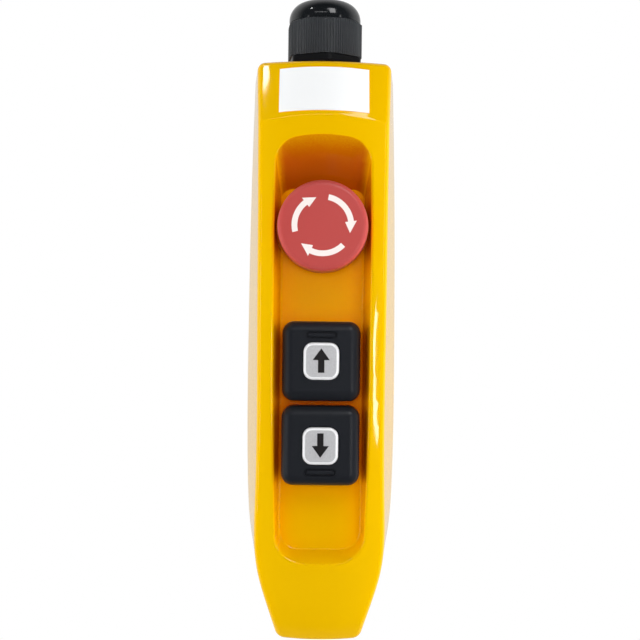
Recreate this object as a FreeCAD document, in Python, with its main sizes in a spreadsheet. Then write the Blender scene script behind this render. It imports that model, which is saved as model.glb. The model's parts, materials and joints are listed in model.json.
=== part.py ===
import FreeCAD, Part
import math
import os
import types
import Sketcher

# A hoist pendant: a moulded housing that hangs from its cable gland, with a mushroom emergency stop
# and two push buttons in a long thumb well. Millimetres and degrees. +Z is up along the housing, the
# front faces -Y, and the origin is the centre of the gland's mouth, so all the rest lies below it.
#
# Sizes are cells of the sheet "dim". A drop is measured down from the housing's flat top, "forward"
# towards the front from the gland's axis and "back" away from it, and a half is half a width.

SIZES = {
    # Gland, from its mouth down to the housing's top
    "nose_proud": 0.8,
    "cap_height": 25.8,
    "dome_height": 9.5,
    "cap_gap": 0.3,
    "flange_thick": 3.1,
    "washer_thick": 1.2,
    "cable_radius": 4.0,
    "nose_radius": 5.2,
    "nose_length": 4.5,
    "insert_radius": 9.5,
    "insert_shoulder": 10.5,
    "insert_length": 20.0,
    "insert_gap": 0.3,
    "mouth_gap": 0.4,
    "cone_gap": 0.6,
    "thread_radius": 12.5,
    "thread_gap": 0.08,
    "spigot_gap": 0.2,
    "spigot_bore": 7.5,
    "spigot_below_nut": 1.2,
    "claw_length": 5.0,
    "claw_slot": 1.2,
    "claw_count": 8,
    "body_top": 12.0,
    "flange_across": 31.5,
    "flange_round": 3.0,
    "washer_radius": 16.0,
    "collar_flat": 16.3,
    "collar_corner": 17.6,
    "collar_chamfer": 1.4,
    "rib_count": 84,
    "rib_depth": 0.35,
    "gland_clocking": 7.0,
    "dome_lip": 1.0,
    "dome_bow": 5.0,
    "lock_nut_across": 30.0,
    "lock_nut_thick": 5.0,
    # Housing outline: half-widths at the parting plane (rear) and at the foremost plane (fore)
    "housing_length": 260.9,
    "wall": 3.0,
    "top_wall": 3.5,
    "parting_back": 15.0,
    "fore_margin": 2.5,
    "corner_round": 3.6,
    "end_round": 5.0,
    "end_slope": 4.0,
    "rear_shoulder_half": 32.5,
    "rear_chest_half": 33.9,
    "rear_belly_half": 34.5,
    "rear_hip_half": 34.0,
    "rear_knee_half": 32.0,
    "rear_shin_half": 26.9,
    "rear_tail_half": 20.8,
    "fore_shoulder_half": 28.4,
    "fore_chest_half": 27.7,
    "fore_belly_half": 27.3,
    "fore_hip_half": 27.3,
    "fore_knee_half": 26.6,
    "fore_shin_half": 22.6,
    "fore_tail_half": 18.3,
    "chest_drop": 60.8,
    "belly_drop": 120.8,
    "rear_hip_drop": 190.8,
    "rear_knee_drop": 215.8,
    "rear_shin_drop": 236.8,
    "fore_hip_drop": 203.8,
    "fore_knee_drop": 229.8,
    "fore_shin_drop": 243.8,
    "tail_rise": 4.1,
    # Housing side profile and the bow of its front
    "crease_drop": 25.5,
    "crease_forward": 31.0,
    "brow_forward": 33.0,
    "front_forward": 33.6,
    "thigh_drop": 170.8,
    "thigh_forward": 31.0,
    "chin_drop": 222.8,
    "chin_forward": 24.0,
    "tip_forward": 9.5,
    "front_radius": 101.5,
    "label_tilt": 21.0,
    "label_radius": 85.0,
    "edge_round": 3.0,
    # Thumb well
    "floor_forward": 17.0,
    "boot_side_gap": 0.1,
    "well_top_drop": 57.1,
    "well_bottom_drop": 218.4,
    "well_top_corner": 5.5,
    "well_top_corner_draft": 0.25,
    "well_low_corner": 9.0,
    "well_low_corner_draft": 0.45,
    "well_side_draft": 0.19,
    "well_top_draft": 1.58,
    "well_bottom_draft": 0.885,
    "relief_gap": 0.9,
    "floor_round": 1.3,
    "rim_round": 1.2,
    "cavity_forward": 27.0,
    # Back cover, its gasket and its screws
    "cover_depth": 8.0,
    "cover_draft": 1.5,
    "cover_round": 3.0,
    "gasket_edge": 0.9,
    "gasket_width": 1.2,
    "gasket_thick": 0.8,
    "gasket_gap": 0.1,
    "boss_radius": 4.0,
    "top_boss_half": 24.0,
    "top_boss_drop": 12.5,
    "mid_boss_half": 26.0,
    "mid_boss_drop": 104.8,
    "low_boss_half": 14.0,
    "low_boss_drop": 237.3,
    "insert_nut_radius": 2.3,
    "insert_nut_length": 6.0,
    "insert_hole_past": 3.0,
    "screw_radius": 1.5,
    "screw_gap": 0.05,
    "screw_head_radius": 2.8,
    "screw_head_thick": 2.0,
    "screw_seat_gap": 0.2,
    "screw_seat_wall": 2.5,
    "hex_key_across": 2.0,
    "cover_screw_reach": 5.0,
    # Label
    "label_width": 39.8,
    "label_height": 22.0,
    "label_thick": 0.3,
    "label_rise": 12.8,
    # Emergency stop
    "stop_drop": 74.9,
    "stop_travel": 4.5,
    "stop_clearance": 0.5,
    "head_radius": 19.8,
    "head_forward": 37.6,
    "head_crown": 0.6,
    "head_edge": 2.5,
    "skirt_radius": 20.1,
    "skirt_clearance": 1.5,
    "skirt_wall": 1.9,
    "head_web": 4.0,
    "hub_radius": 7.5,
    "stop_seal_thick": 1.0,
    "stop_seal_radius": 14.0,
    "stop_collar_radius": 14.5,
    "stop_collar_thick": 4.0,
    "stop_collar_chamfer": 0.8,
    "stop_land": 2.0,
    "barrel_radius": 11.0,
    "barrel_bore": 8.0,
    "barrel_forward": 1.0,
    "ring_nut_across": 29.0,
    "ring_nut_thick": 5.0,
    "stem_radius": 5.0,
    "stem_gap": 0.06,
    "disc_radius": 7.6,
    "disc_thick": 2.0,
    "sleeve_length": 4.0,
    "sleeve_bore": 5.5,
    "piece_gap": 0.3,
    "trip_wire": 0.5,
    "trip_coil": 6.4,
    "trip_turns": 5,
    # Push buttons
    "up_drop": 134.0,
    "boot_between": 2.1,
    "button_travel": 5.0,
    "boot_width": 34.4,
    "boot_height": 35.1,
    "boot_forward": 31.5,
    "boot_corner": 6.0,
    "boot_edge": 3.0,
    "boot_wall": 1.5,
    "window_width": 16.5,
    "window_height": 17.1,
    "window_corner": 4.6,
    "bar_width": 12.4,
    "bar_height": 2.0,
    "bar_corner": 0.6,
    "bar_rise": 11.5,
    "bar_proud": 0.4,
    "plate_corner": 4.3,
    "plate_proud": 0.4,
    "plate_bevel": 0.7,
    "pusher_half": 12.5,
    "pusher_thick": 5.0,
    "pusher_corner": 3.0,
    "push_stem_radius": 4.0,
    "guide_radius": 6.0,
    "guide_forward": 9.0,
    "push_stem_end": 8.6,
    # Mounting plate
    "plate_forward": 8.0,
    "plate_thick": 1.5,
    "plate_half": 19.0,
    "plate_above": 18.0,
    "plate_below": 18.0,
    "pillar_radius": 3.4,
    "pillar_half": 15.0,
    "pillar_inset": 3.8,
    "plate_screw_reach": 5.0,
    # Contact blocks
    "block_depth": 18.0,
    "block_half_x": 11.0,
    "block_half_z": 13.5,
    "block_wall": 2.0,
    "chamber_half": 7.5,
    "tip_radius": 2.0,
    "tip_past": 3.0,
    "bridge_half_x": 2.6,
    "bridge_half_z": 6.8,
    "bridge_thick": 0.8,
    "open_bridge_at": 3.0,
    "closed_strip_at": 4.3,
    "point_radius": 1.4,
    "point_thick": 0.6,
    "point_offset": 5.3,
    "strip_half_x": 3.0,
    "strip_near": 3.9,
    "strip_far": 12.6,
    "strip_thick": 0.8,
    "terminal_offset": 10.4,
    "terminal_radius": 1.3,
    "terminal_head": 2.4,
    "terminal_head_thick": 1.8,
    "terminal_reach": 2.5,
    "terminal_slot": 0.7,
    "pocket_half": 2.7,
    "coil_wire": 0.35,
    "coil_radius": 2.7,
    "coil_turns": 6,
    "coil_seat_gap": 0.1,
}

doc = FreeCAD.newDocument("pendant_station")
dim = doc.addObject("Spreadsheet::Sheet", "dim")
for row, (alias, number) in enumerate(SIZES.items(), start=1):
    dim.set(f"A{row}", alias)
    dim.set(f"B{row}", str(number))
    dim.setAlias(f"B{row}", alias)
doc.recompute()

TINY = 1e-6
NEAR = 0.01


# --- Reading the sheet -----------------------------------------------------------------------

def value(expression):
    return float(dim.evalExpression(expression))


size = types.SimpleNamespace(**{alias: float(dim.get(alias)) for alias in SIZES})

CAP_TOP = "-dim.nose_proud"
CAP_BOTTOM = f"({CAP_TOP} - dim.cap_height)"
FLANGE_TOP = f"({CAP_BOTTOM} - dim.cap_gap)"
FLANGE_BOTTOM = f"({FLANGE_TOP} - dim.flange_thick)"
TOP_Z = f"({FLANGE_BOTTOM} - dim.washer_thick)"
STOP_Z = f"({TOP_Z} - dim.stop_drop)"
UP_Z = f"({TOP_Z} - dim.up_drop)"
DOWN_Z = f"({UP_Z} - dim.boot_height - dim.boot_between)"
FLOOR_Y = "-dim.floor_forward"
FLOOR_BACK = "(dim.wall - dim.floor_forward)"
COVER_BACK = "(dim.parting_back + dim.cover_depth)"
SEAL_FRONT = f"({FLOOR_Y} - dim.stop_seal_thick)"
COLLAR_FRONT = f"({SEAL_FRONT} - dim.stop_collar_thick)"
SLEEVE_FRONT = "(-dim.barrel_forward - dim.sleeve_length)"
DISC_BACK = f"({SLEEVE_FRONT} - dim.stop_travel - dim.stop_clearance)"
BLOCK_STOP_Y = "(-dim.barrel_forward)"
BLOCK_PUSH_Y = "(dim.plate_thick - dim.plate_forward)"
POINT_PAIR = "(2 * dim.point_thick + dim.piece_gap)"
CLOSED_BRIDGE = f"(dim.closed_strip_at + dim.strip_thick + {POINT_PAIR})"
OPEN_STRIP = f"(dim.open_bridge_at + dim.bridge_thick + {POINT_PAIR} + dim.button_travel)"
PUSHER_Y = "(dim.boot_wall + dim.piece_gap - dim.boot_forward)"
COVER_SEAT = "(dim.parting_back + dim.screw_seat_wall)"
COVER_REACH = "(dim.screw_seat_wall + dim.cover_screw_reach)"
PLATE_TOP = f"({UP_Z} + dim.plate_above)"
PLATE_BOTTOM = f"({DOWN_Z} - dim.plate_below)"
COVER_SCREWS = [
    (f"{side} * dim.{level}_boss_half", f"{TOP_Z} - dim.{level}_boss_drop")
    for level in ("top", "mid", "low")
    for side in (-1, 1)
]
PLATE_SCREWS = [
    (f"{side} * dim.pillar_half", z)
    for z in (f"{PLATE_TOP} - dim.pillar_inset", f"{PLATE_BOTTOM} + dim.pillar_inset")
    for side in (-1, 1)
]


# --- Building blocks -------------------------------------------------------------------------

def bind(thing, **expressions):
    for name, expression in expressions.items():
        thing.setExpression(name, expression)


def place(thing, x="0", y="0", z="0", axis=(0, 0, 1), angle="0"):
    thing.Placement = FreeCAD.Placement(FreeCAD.Vector(), FreeCAD.Rotation(FreeCAD.Vector(*axis), 1))
    for letter, expression in zip("xyz", (x, y, z)):
        thing.setExpression(f"Placement.Base.{letter}", expression)
    thing.setExpression("Placement.Rotation.Angle", angle)
    return thing


def box(name, x, y, z, half_x, depth, half_z):
    """A box centred on x and z that runs back from y."""
    thing = doc.addObject("Part::Box", name)
    bind(thing, Length=f"2 * ({half_x})", Width=depth, Height=f"2 * ({half_z})")
    return place(thing, f"({x}) - ({half_x})", y, f"({z}) - ({half_z})")


def rod(name, x, y, z, radius, length):
    """A round bar that runs back from y, along +Y."""
    thing = doc.addObject("Part::Cylinder", name)
    bind(thing, Radius=radius, Height=length)
    return place(thing, x, y, z, (1, 0, 0), "-90")


def cut(name, base, tool):
    thing = doc.addObject("Part::Cut", name)
    thing.Base = base
    thing.Tool = tool
    return thing


def fuse(name, pieces):
    thing = doc.addObject("Part::MultiFuse", name)
    thing.Shapes = pieces
    return thing


def group(name, pieces):
    thing = doc.addObject("Part::Compound", name)
    thing.Links = pieces
    return thing


def new_body(name):
    return doc.addObject("PartDesign::Body", name)


def new_sketch(body, role, shift=("0", "0", "0"), turn="0"):
    sketch = body.newObject("Sketcher::SketchObject", f"{body.Name}_sketch")
    plane = [feature for feature in body.Origin.OriginFeatures if feature.Role == role][0]
    sketch.AttachmentSupport = [(plane, "")]
    sketch.MapMode = "FlatFace"
    for letter, expression in zip("xyz", shift):
        sketch.setExpression(f"AttachmentOffset.Base.{letter}", expression)
    sketch.setExpression("AttachmentOffset.Rotation.Angle", turn)
    return sketch


def fix_point(sketch, geometry, end, u, v):
    for kind, expression in (("DistanceX", u), ("DistanceY", v)):
        number = sketch.addConstraint(Sketcher.Constraint(kind, geometry, end, value(expression)))
        sketch.setExpression(f"Constraints[{number}]", expression)


def draw(sketch, outline):
    """Closes an outline of (u, v) corners; (u, v, mid_u, mid_v) starts an arc through its middle."""
    places = [FreeCAD.Vector(value(step[0]), value(step[1]), 0) for step in outline]
    sides = []
    for index, step in enumerate(outline):
        start = places[index]
        stop = places[(index + 1) % len(outline)]
        side = Part.LineSegment(start, stop)
        if len(step) == 4:
            side = Part.Arc(start, FreeCAD.Vector(value(step[2]), value(step[3]), 0), stop)
        sides.append(sketch.addGeometry(side))
    for index, step in enumerate(outline):
        side = sides[index]
        before = sides[index - 1]
        here = 1 if sketch.getPoint(side, 1).distanceToPoint(places[index]) < TINY else 2
        there = 1 if sketch.getPoint(before, 1).distanceToPoint(places[index]) < TINY else 2
        fix_point(sketch, side, here, step[0], step[1])
        sketch.addConstraint(Sketcher.Constraint("Coincident", before, there, side, here))
        if len(step) == 4:
            middle = Part.Point(FreeCAD.Vector(value(step[2]), value(step[3]), 0))
            number = sketch.addGeometry(middle, True)
            fix_point(sketch, number, 1, step[2], step[3])
            sketch.addConstraint(Sketcher.Constraint("PointOnObject", number, 1, side))


def draw_circle(sketch, u, v, radius):
    circle = Part.Circle(FreeCAD.Vector(value(u), value(v), 0), FreeCAD.Vector(0, 0, 1), value(radius))
    number = sketch.addGeometry(circle)
    fix_point(sketch, number, 3, u, v)
    constraint = sketch.addConstraint(Sketcher.Constraint("Radius", number, value(radius)))
    sketch.setExpression(f"Constraints[{constraint}]", radius)


def rounded(half_u, half_v, corner, rise="0"):
    """A rounded rectangle, clockwise from its top left, centred on (0, rise)."""
    bevel = f"({corner}) * (1 - sqrt(0.5))"
    outline = []
    for side_u, side_v in ((-1, 1), (1, 1), (1, -1), (-1, -1)):
        edge_u = (f"{side_u} * ({half_u})", f"{rise} + {side_v} * (({half_v}) - ({corner}))")
        edge_v = (f"{side_u} * (({half_u}) - ({corner}))", f"{rise} + {side_v} * ({half_v})")
        middle = (f"{side_u} * (({half_u}) - {bevel})", f"{rise} + {side_v} * (({half_v}) - {bevel})")
        ends = (edge_u, edge_v) if side_u == -side_v else (edge_v, edge_u)
        outline.append(ends[0] + middle)
        outline.append(ends[1])
    return outline


def hexagon(across):
    """A hexagon with a corner on the v axis."""
    corners = range(90, 90 - 360, -60)
    return [(f"({across}) / sqrt(3) * cos({a})", f"({across}) / sqrt(3) * sin({a})") for a in corners]


def pad(body, outline, y, depth):
    """Adds an outline seen from the front, from y backwards."""
    sketch = new_sketch(body, "XZ_Plane", ("0", "0", f"-({y})"))
    draw(sketch, outline)
    feature = body.newObject("PartDesign::Pad", f"{body.Name}_pad")
    feature.Profile = sketch
    feature.Reversed = True
    feature.setExpression("Length", depth)
    doc.recompute()
    return feature


def pocket(body, outline, y, depth):
    """Cuts an outline seen from the front, from y backwards."""
    sketch = new_sketch(body, "XZ_Plane", ("0", "0", f"-({y})"))
    draw(sketch, outline)
    return sink(body, sketch, depth)


def bore(body, y, radius, depth):
    """Bores a round hole on the body's Y axis, from y backwards."""
    sketch = new_sketch(body, "XZ_Plane", ("0", "0", f"-({y})"))
    draw_circle(sketch, "0", "0", radius)
    return sink(body, sketch, depth)


def sink(body, sketch, depth):
    before = body.Shape.Volume
    feature = body.newObject("PartDesign::Pocket", f"{body.Name}_pocket")
    feature.Profile = sketch
    feature.setExpression("Length", depth)
    doc.recompute()
    if body.Shape.Volume >= before:
        raise RuntimeError(f"{body.Name}: a pocket cuts nothing")
    return feature


def turned(name, profile, upright=False):
    """A body turned from a half profile: (y, r) about its Y axis, or (r, z) about Z if upright."""
    body = new_body(name)
    sketch = new_sketch(body, "XZ_Plane" if upright else "YZ_Plane")
    draw(sketch, profile)
    feature = body.newObject("PartDesign::Revolution", f"{name}_turn")
    feature.Profile = sketch
    feature.ReferenceAxis = (sketch, ["V_Axis" if upright else "H_Axis"])
    feature.Angle = 360
    doc.recompute()
    return body


def dress(body, kind, size_name, amount, wanted):
    """Rounds or chamfers the edges of a body that a test picks by their place."""
    doc.recompute()
    base = body.Tip
    names = [f"Edge{number}" for number, edge in enumerate(base.Shape.Edges, start=1) if wanted(edge)]
    feature = body.newObject(f"PartDesign::{kind}", f"{body.Name}_{kind}")
    feature.Base = (base, names)
    feature.setExpression(size_name, amount)
    doc.recompute()
    return feature


def lies_at_y(expression):
    """A test for edges that lie in the plane at y."""
    y = value(expression)
    return lambda edge: abs(edge.BoundBox.YMin - y) < NEAR and abs(edge.BoundBox.YMax - y) < NEAR


def hex_nut(name, across, hole, y, thick):
    body = new_body(name)
    pad(body, hexagon(across), y, thick)
    bore(body, y, hole, thick)
    return body


def coil(name, radius, wire, turns, length):
    """A compression spring that runs back from its body's origin along Y."""
    body = new_body(name)
    sketch = new_sketch(body, "XZ_Plane")
    draw_circle(sketch, radius, f"{wire} + dim.coil_seat_gap", wire)
    feature = body.newObject("PartDesign::AdditiveHelix", f"{name}_helix")
    feature.Profile = sketch
    feature.ReferenceAxis = (sketch, ["V_Axis"])
    feature.Mode = "height-turns-angle"
    free = f"({length}) - 2 * {wire} - 2 * dim.coil_seat_gap"
    bind(feature, Height=free, Turns=turns)
    doc.recompute()
    return body


# --- Housing ---------------------------------------------------------------------------------
# The shells are free-form: interpolated sides and a bowed front, so they are made as shapes.

def spot(x, y, z):
    return FreeCAD.Vector(x, y, z)


def mirror_x(shape):
    return shape.mirror(spot(0, 0, 0), spot(1, 0, 0))


def side_points(plane, inset, y):
    """The right side from the shoulder to the tail, drawn in by an inset."""
    top = value(TOP_Z)
    drops = {
        "shoulder": size.corner_round,
        "chest": size.chest_drop,
        "belly": size.belly_drop,
        "hip": getattr(size, f"{plane}_hip_drop"),
        "knee": getattr(size, f"{plane}_knee_drop"),
        "shin": getattr(size, f"{plane}_shin_drop"),
        "tail": size.housing_length - size.tail_rise,
    }
    halves = {place_name: getattr(size, f"{plane}_{place_name}_half") for place_name in drops}
    return [spot(halves[name] - inset, y, top - drops[name]) for name in drops]


def housing_wire(plane, inset, y, top_inset):
    """The closed outline at a plane: flat top, round corners, smooth sides and a shallow end."""
    points = side_points(plane, inset, y)
    side = Part.BSplineCurve()
    side.interpolate(points)
    shoulder = points[0]
    tail = points[-1]
    top_round = size.corner_round - top_inset
    top = shoulder.z + top_round
    corner_centre = spot(shoulder.x - top_round, y, shoulder.z)
    diagonal = spot(math.sqrt(0.5), 0, math.sqrt(0.5)) * top_round
    corner = Part.Arc(spot(corner_centre.x, y, top), corner_centre + diagonal, shoulder)
    heading = side.tangent(side.LastParameter)[0]
    inward = spot(heading.z, 0, -heading.x)
    end_round = size.end_round - inset
    end_centre = tail + inward * end_round
    slope = math.radians(size.end_slope)
    end = end_centre + spot(math.sin(slope), 0, -math.cos(slope)) * end_round
    towards = (tail - end_centre) + (end - end_centre)
    towards.normalize()
    end_corner = Part.Arc(tail, end_centre + towards * end_round, end)
    sag = end.x * math.tan(slope / 2)
    bottom = Part.Arc(end, spot(0, y, end.z - sag), spot(-end.x, y, end.z))
    right = [piece.toShape() for piece in (corner, side, end_corner)]
    left = [mirror_x(piece) for piece in right]
    lid = Part.LineSegment(spot(-corner_centre.x, y, top), spot(corner_centre.x, y, top))
    loop = [lid.toShape()] + right + [bottom.toShape()] + left
    return Part.Wire(Part.__sortEdges__(loop))


def front_drum(inset):
    """What lies in front of the bowed front, as a ring about a vertical axis behind the housing."""
    axis_y = size.front_radius - size.front_forward
    top = value(TOP_Z)
    places = [
        (size.crease_forward, 0),
        (size.crease_forward, size.crease_drop),
        (size.brow_forward, size.chest_drop),
        (size.front_forward, size.belly_drop),
        (size.thigh_forward, size.thigh_drop),
        (size.chin_forward, size.chin_drop),
        (size.tip_forward, size.housing_length),
        (size.tip_forward - size.edge_round, size.housing_length + size.edge_round),
    ]
    profile = Part.BSplineCurve()
    points = [spot(0, 2 * axis_y + forward - inset, top - drop) for forward, drop in places]
    profile.interpolate(points)
    far = points[0].y + size.front_radius
    corners = [points[-1], spot(0, far, points[-1].z), spot(0, far, points[0].z), points[0]]
    rim = Part.Wire(Part.__sortEdges__([profile.toShape()] + Part.makePolygon(corners).Edges))
    ring = Part.Face(rim).revolve(spot(0, axis_y, 0), spot(0, 0, 1), 360)
    return ring


def brow_frame():
    """The crease's middle, and the unit directions up along the brow and out of it."""
    tilt = math.radians(size.label_tilt)
    crease = spot(0, -size.crease_forward, value(TOP_Z) - size.crease_drop)
    return crease, spot(0, math.sin(tilt), math.cos(tilt)), spot(0, -math.cos(tilt), math.sin(tilt))


def brow_drum(inset):
    """What lies in front of the brow: a tilted ring that the label's face is part of."""
    crease, upward, outward = brow_frame()
    radius = size.label_radius - inset
    start = crease - outward * size.label_radius - upward * size.crease_drop
    length = size.crease_drop * 4
    outer = Part.makeCylinder(radius + size.crease_forward * 2, length, start, upward)
    return outer.cut(Part.makeCylinder(radius, length, start, upward))


def front_block(inset, top_inset):
    """The front half as a solid block, or the block that hollows it when drawn in by the wall."""
    rear = housing_wire("rear", inset, size.parting_back, top_inset)
    fore = housing_wire("fore", inset, -size.front_forward - size.fore_margin, top_inset)
    block = Part.makeLoft([rear, fore], True, True)
    return block.cut(front_drum(inset)).cut(brow_drum(inset))


def well_wire(y, grow):
    """The thumb well's outline at y, from its floor's sizes and the drafts of its walls."""
    rise = -size.floor_forward - y
    half = size.boot_width / 2 + size.boot_side_gap + size.floor_round + size.well_side_draft * rise + grow
    top = value(TOP_Z) - size.well_top_drop + size.well_top_draft * rise + grow
    bottom = value(TOP_Z) - size.well_bottom_drop - size.well_bottom_draft * rise - grow
    top_corner = size.well_top_corner + size.well_top_corner_draft * rise + grow
    low_corner = size.well_low_corner + size.well_low_corner_draft * rise + grow
    loop = []
    for side_z, edge_z, corner in ((1, top, top_corner), (-1, bottom, low_corner)):
        bend = corner * (1 - math.sqrt(0.5))
        across = spot(half - corner, y, edge_z)
        along = spot(half, y, edge_z - side_z * corner)
        middle = spot(half - bend, y, edge_z - side_z * bend)
        arc = Part.Arc(across, middle, along).toShape()
        loop.append(arc)
        loop.append(mirror_x(arc))
        loop.append(Part.LineSegment(spot(-across.x, y, edge_z), across).toShape())
    for side_x in (1, -1):
        ends = (spot(side_x * half, y, top - top_corner), spot(side_x * half, y, bottom + low_corner))
        loop.append(Part.LineSegment(*ends).toShape())
    return Part.Wire(Part.__sortEdges__(loop))


def well_tool(grow):
    """The space of the thumb well, with a round relief about the emergency stop's head."""
    floor_y = -size.floor_forward + grow
    fore_y = -size.front_forward - size.fore_margin
    floor = well_wire(-size.floor_forward, grow)
    floor.translate(spot(0, grow, 0))
    fore = well_wire(fore_y, grow)
    tool = Part.makeLoft([floor, fore], True, True)
    radius = size.skirt_radius + size.relief_gap + grow
    height = size.front_forward - size.floor_forward - size.rim_round * 2 + grow
    relief = Part.makeCylinder(radius, height, spot(0, floor_y, value(STOP_Z)), spot(0, -1, 0))
    return tool, relief



def middle_of(edge):
    return edge.valueAt((edge.FirstParameter + edge.LastParameter) / 2)


def bar_along_y(x, z, radius, start_y, end_y):
    """A round bar along Y at a place in the sheet's terms, from one y to another."""
    start = spot(value(x), start_y, value(z))
    heading = spot(0, math.copysign(1, end_y - start_y), 0)
    return Part.makeCylinder(radius, abs(end_y - start_y), start, heading)


def named(name, shape):
    thing = doc.addObject("Part::Feature", name)
    thing.Shape = shape
    return thing


def front_shell():
    """The front half: bowed block, thumb well, hollow, bosses, pillars, guides and holes."""
    solid = front_block(0, 0)
    front_edges = [edge for edge in solid.Edges if edge.BoundBox.YMax < size.parting_back - TINY]
    solid = solid.makeFillet(size.edge_round, front_edges)
    well, relief = well_tool(0)
    floor_edges = [edge for edge in well.Edges if abs(middle_of(edge).y + size.floor_forward) < TINY]
    floor_edges = [edge for edge in floor_edges if edge.BoundBox.YLength < TINY * 10]
    well = well.makeFillet(size.floor_round, floor_edges)
    skin = solid.Shells[0]
    outside = solid
    solid = solid.cut(well)
    rim = []
    for edge in solid.Edges:
        point = Part.Vertex(middle_of(edge))
        if well.distToShape(point)[0] < NEAR and skin.distToShape(point)[0] < NEAR:
            rim.append(edge)
    solid = solid.makeFillet(size.rim_round, rim).cut(relief)
    core = front_block(size.wall, size.top_wall)
    reach = size.housing_length
    corner = spot(-reach, -size.cavity_forward - reach, value(TOP_Z) - reach)
    ahead = Part.makeBox(2 * reach, reach, reach, corner)
    grown_well, grown_relief = well_tool(size.wall)
    solid = solid.cut(core.cut(ahead).cut(grown_well).cut(grown_relief))
    floor_back = value(FLOOR_BACK)
    plate_front = -size.plate_forward
    additions = []
    for x, z in COVER_SCREWS:
        boss = bar_along_y(x, z, size.boss_radius, size.parting_back, size.wall - size.cavity_forward)
        additions.append(boss.common(outside))
    for x, z in PLATE_SCREWS:
        additions.append(bar_along_y(x, z, size.pillar_radius, floor_back, plate_front))
    for z in (UP_Z, DOWN_Z):
        additions.append(bar_along_y("0", z, size.guide_radius, floor_back, -size.guide_forward))
    solid = solid.fuse(additions)
    holes = []
    for x, z in COVER_SCREWS:
        end = size.parting_back - size.insert_nut_length - size.insert_hole_past
        holes.append(bar_along_y(x, z, size.insert_nut_radius, size.parting_back, end))
    for x, z in PLATE_SCREWS:
        end = plate_front - size.plate_screw_reach - size.screw_seat_gap
        holes.append(bar_along_y(x, z, size.screw_radius + size.screw_gap, plate_front, end))
    for z in (UP_Z, DOWN_Z):
        radius = size.push_stem_radius + size.stem_gap
        holes.append(bar_along_y("0", z, radius, -size.guide_forward, -size.floor_forward))
    stop_hole = size.barrel_radius + size.spigot_gap
    holes.append(bar_along_y("0", STOP_Z, stop_hole, floor_back, -size.floor_forward))
    entry = size.thread_radius + size.spigot_gap
    below_wall = value(TOP_Z) - size.top_wall
    holes.append(Part.makeCylinder(entry, size.top_wall, spot(0, 0, below_wall)))
    return named("front_shell", solid.cut(holes))


def parting_band(inset_out, inset_in, start_y, thick):
    """A flat band that follows the parting line between two insets."""
    bands = []
    for inset in (inset_out, inset_in):
        face = Part.Face(housing_wire("rear", inset, start_y, inset))
        bands.append(face.extrude(spot(0, thick, 0)))
    return bands[0].cut(bands[1])


def back_cover():
    """The rear half: a shallow tray with a gasket groove and six counterbored screw holes."""
    back_y = value(COVER_BACK)
    mouth = housing_wire("rear", 0, size.parting_back, 0)
    bottom = housing_wire("rear", size.cover_draft, back_y, size.cover_draft)
    solid = Part.makeLoft([mouth, bottom], True, True)
    back_edges = [edge for edge in solid.Edges if edge.BoundBox.YMin > back_y - TINY * 10]
    solid = solid.makeFillet(size.cover_round, back_edges)
    inner_mouth = housing_wire("rear", size.wall, size.parting_back, size.wall)
    inner_bottom = housing_wire("rear", size.wall + size.cover_draft, back_y - size.wall, size.wall)
    solid = solid.cut(Part.makeLoft([inner_mouth, inner_bottom], True, True))
    bosses = [
        bar_along_y(x, z, size.boss_radius, size.parting_back, back_y - size.wall / 2)
        for x, z in COVER_SCREWS
    ]
    solid = solid.fuse(bosses)
    groove = parting_band(
        size.gasket_edge - size.gasket_gap,
        size.gasket_edge + size.gasket_width + size.gasket_gap,
        size.parting_back,
        size.gasket_thick,
    )
    holes = [groove]
    seat_y = size.parting_back + size.screw_seat_wall
    for x, z in COVER_SCREWS:
        shank = size.screw_radius + size.screw_seat_gap
        seat = size.screw_head_radius + size.screw_seat_gap
        holes.append(bar_along_y(x, z, shank, size.parting_back, back_y))
        holes.append(bar_along_y(x, z, seat, seat_y, back_y))
    return named("back_cover", solid.cut(holes))


def cover_gasket():
    edge = size.gasket_edge
    band = parting_band(edge, edge + size.gasket_width, size.parting_back, size.gasket_thick)
    return named("cover_gasket", band)


def screw(name, x, z, seat_y, reach):
    """A socket screw whose head sits on seat_y from behind and whose shank runs forwards."""
    shank = rod(f"{name}_shank", x, f"{seat_y} - ({reach})", z, "dim.screw_radius", reach)
    head = rod(f"{name}_head", x, seat_y, z, "dim.screw_head_radius", "dim.screw_head_thick")
    socket = doc.addObject("Part::Prism", f"{name}_socket")
    socket.Polygon = 6
    bind(socket, Circumradius="dim.hex_key_across / sqrt(3)", Height="dim.screw_head_thick / 2")
    place(socket, x, f"{seat_y} + dim.screw_head_thick / 2", z, (1, 0, 0), "-90")
    return cut(name, fuse(f"{name}_blank", [shank, head]), socket)


def screw_set(name, places, seat_y, reach):
    pieces = [
        screw(f"{name}_{number}", x, z, seat_y, reach)
        for number, (x, z) in enumerate(places, start=1)
    ]
    return group(name, pieces)


def screw_inserts():
    pieces = []
    y = "dim.parting_back - dim.insert_nut_length"
    for number, (x, z) in enumerate(COVER_SCREWS, start=1):
        name = f"screw_insert_{number}"
        sleeve = rod(f"{name}_sleeve", x, y, z, "dim.insert_nut_radius", "dim.insert_nut_length")
        hole = rod(f"{name}_hole", x, y, z, "dim.screw_radius + dim.screw_gap", "dim.insert_nut_length")
        pieces.append(cut(name, sleeve, hole))
    return group("screw_inserts", pieces)


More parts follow.
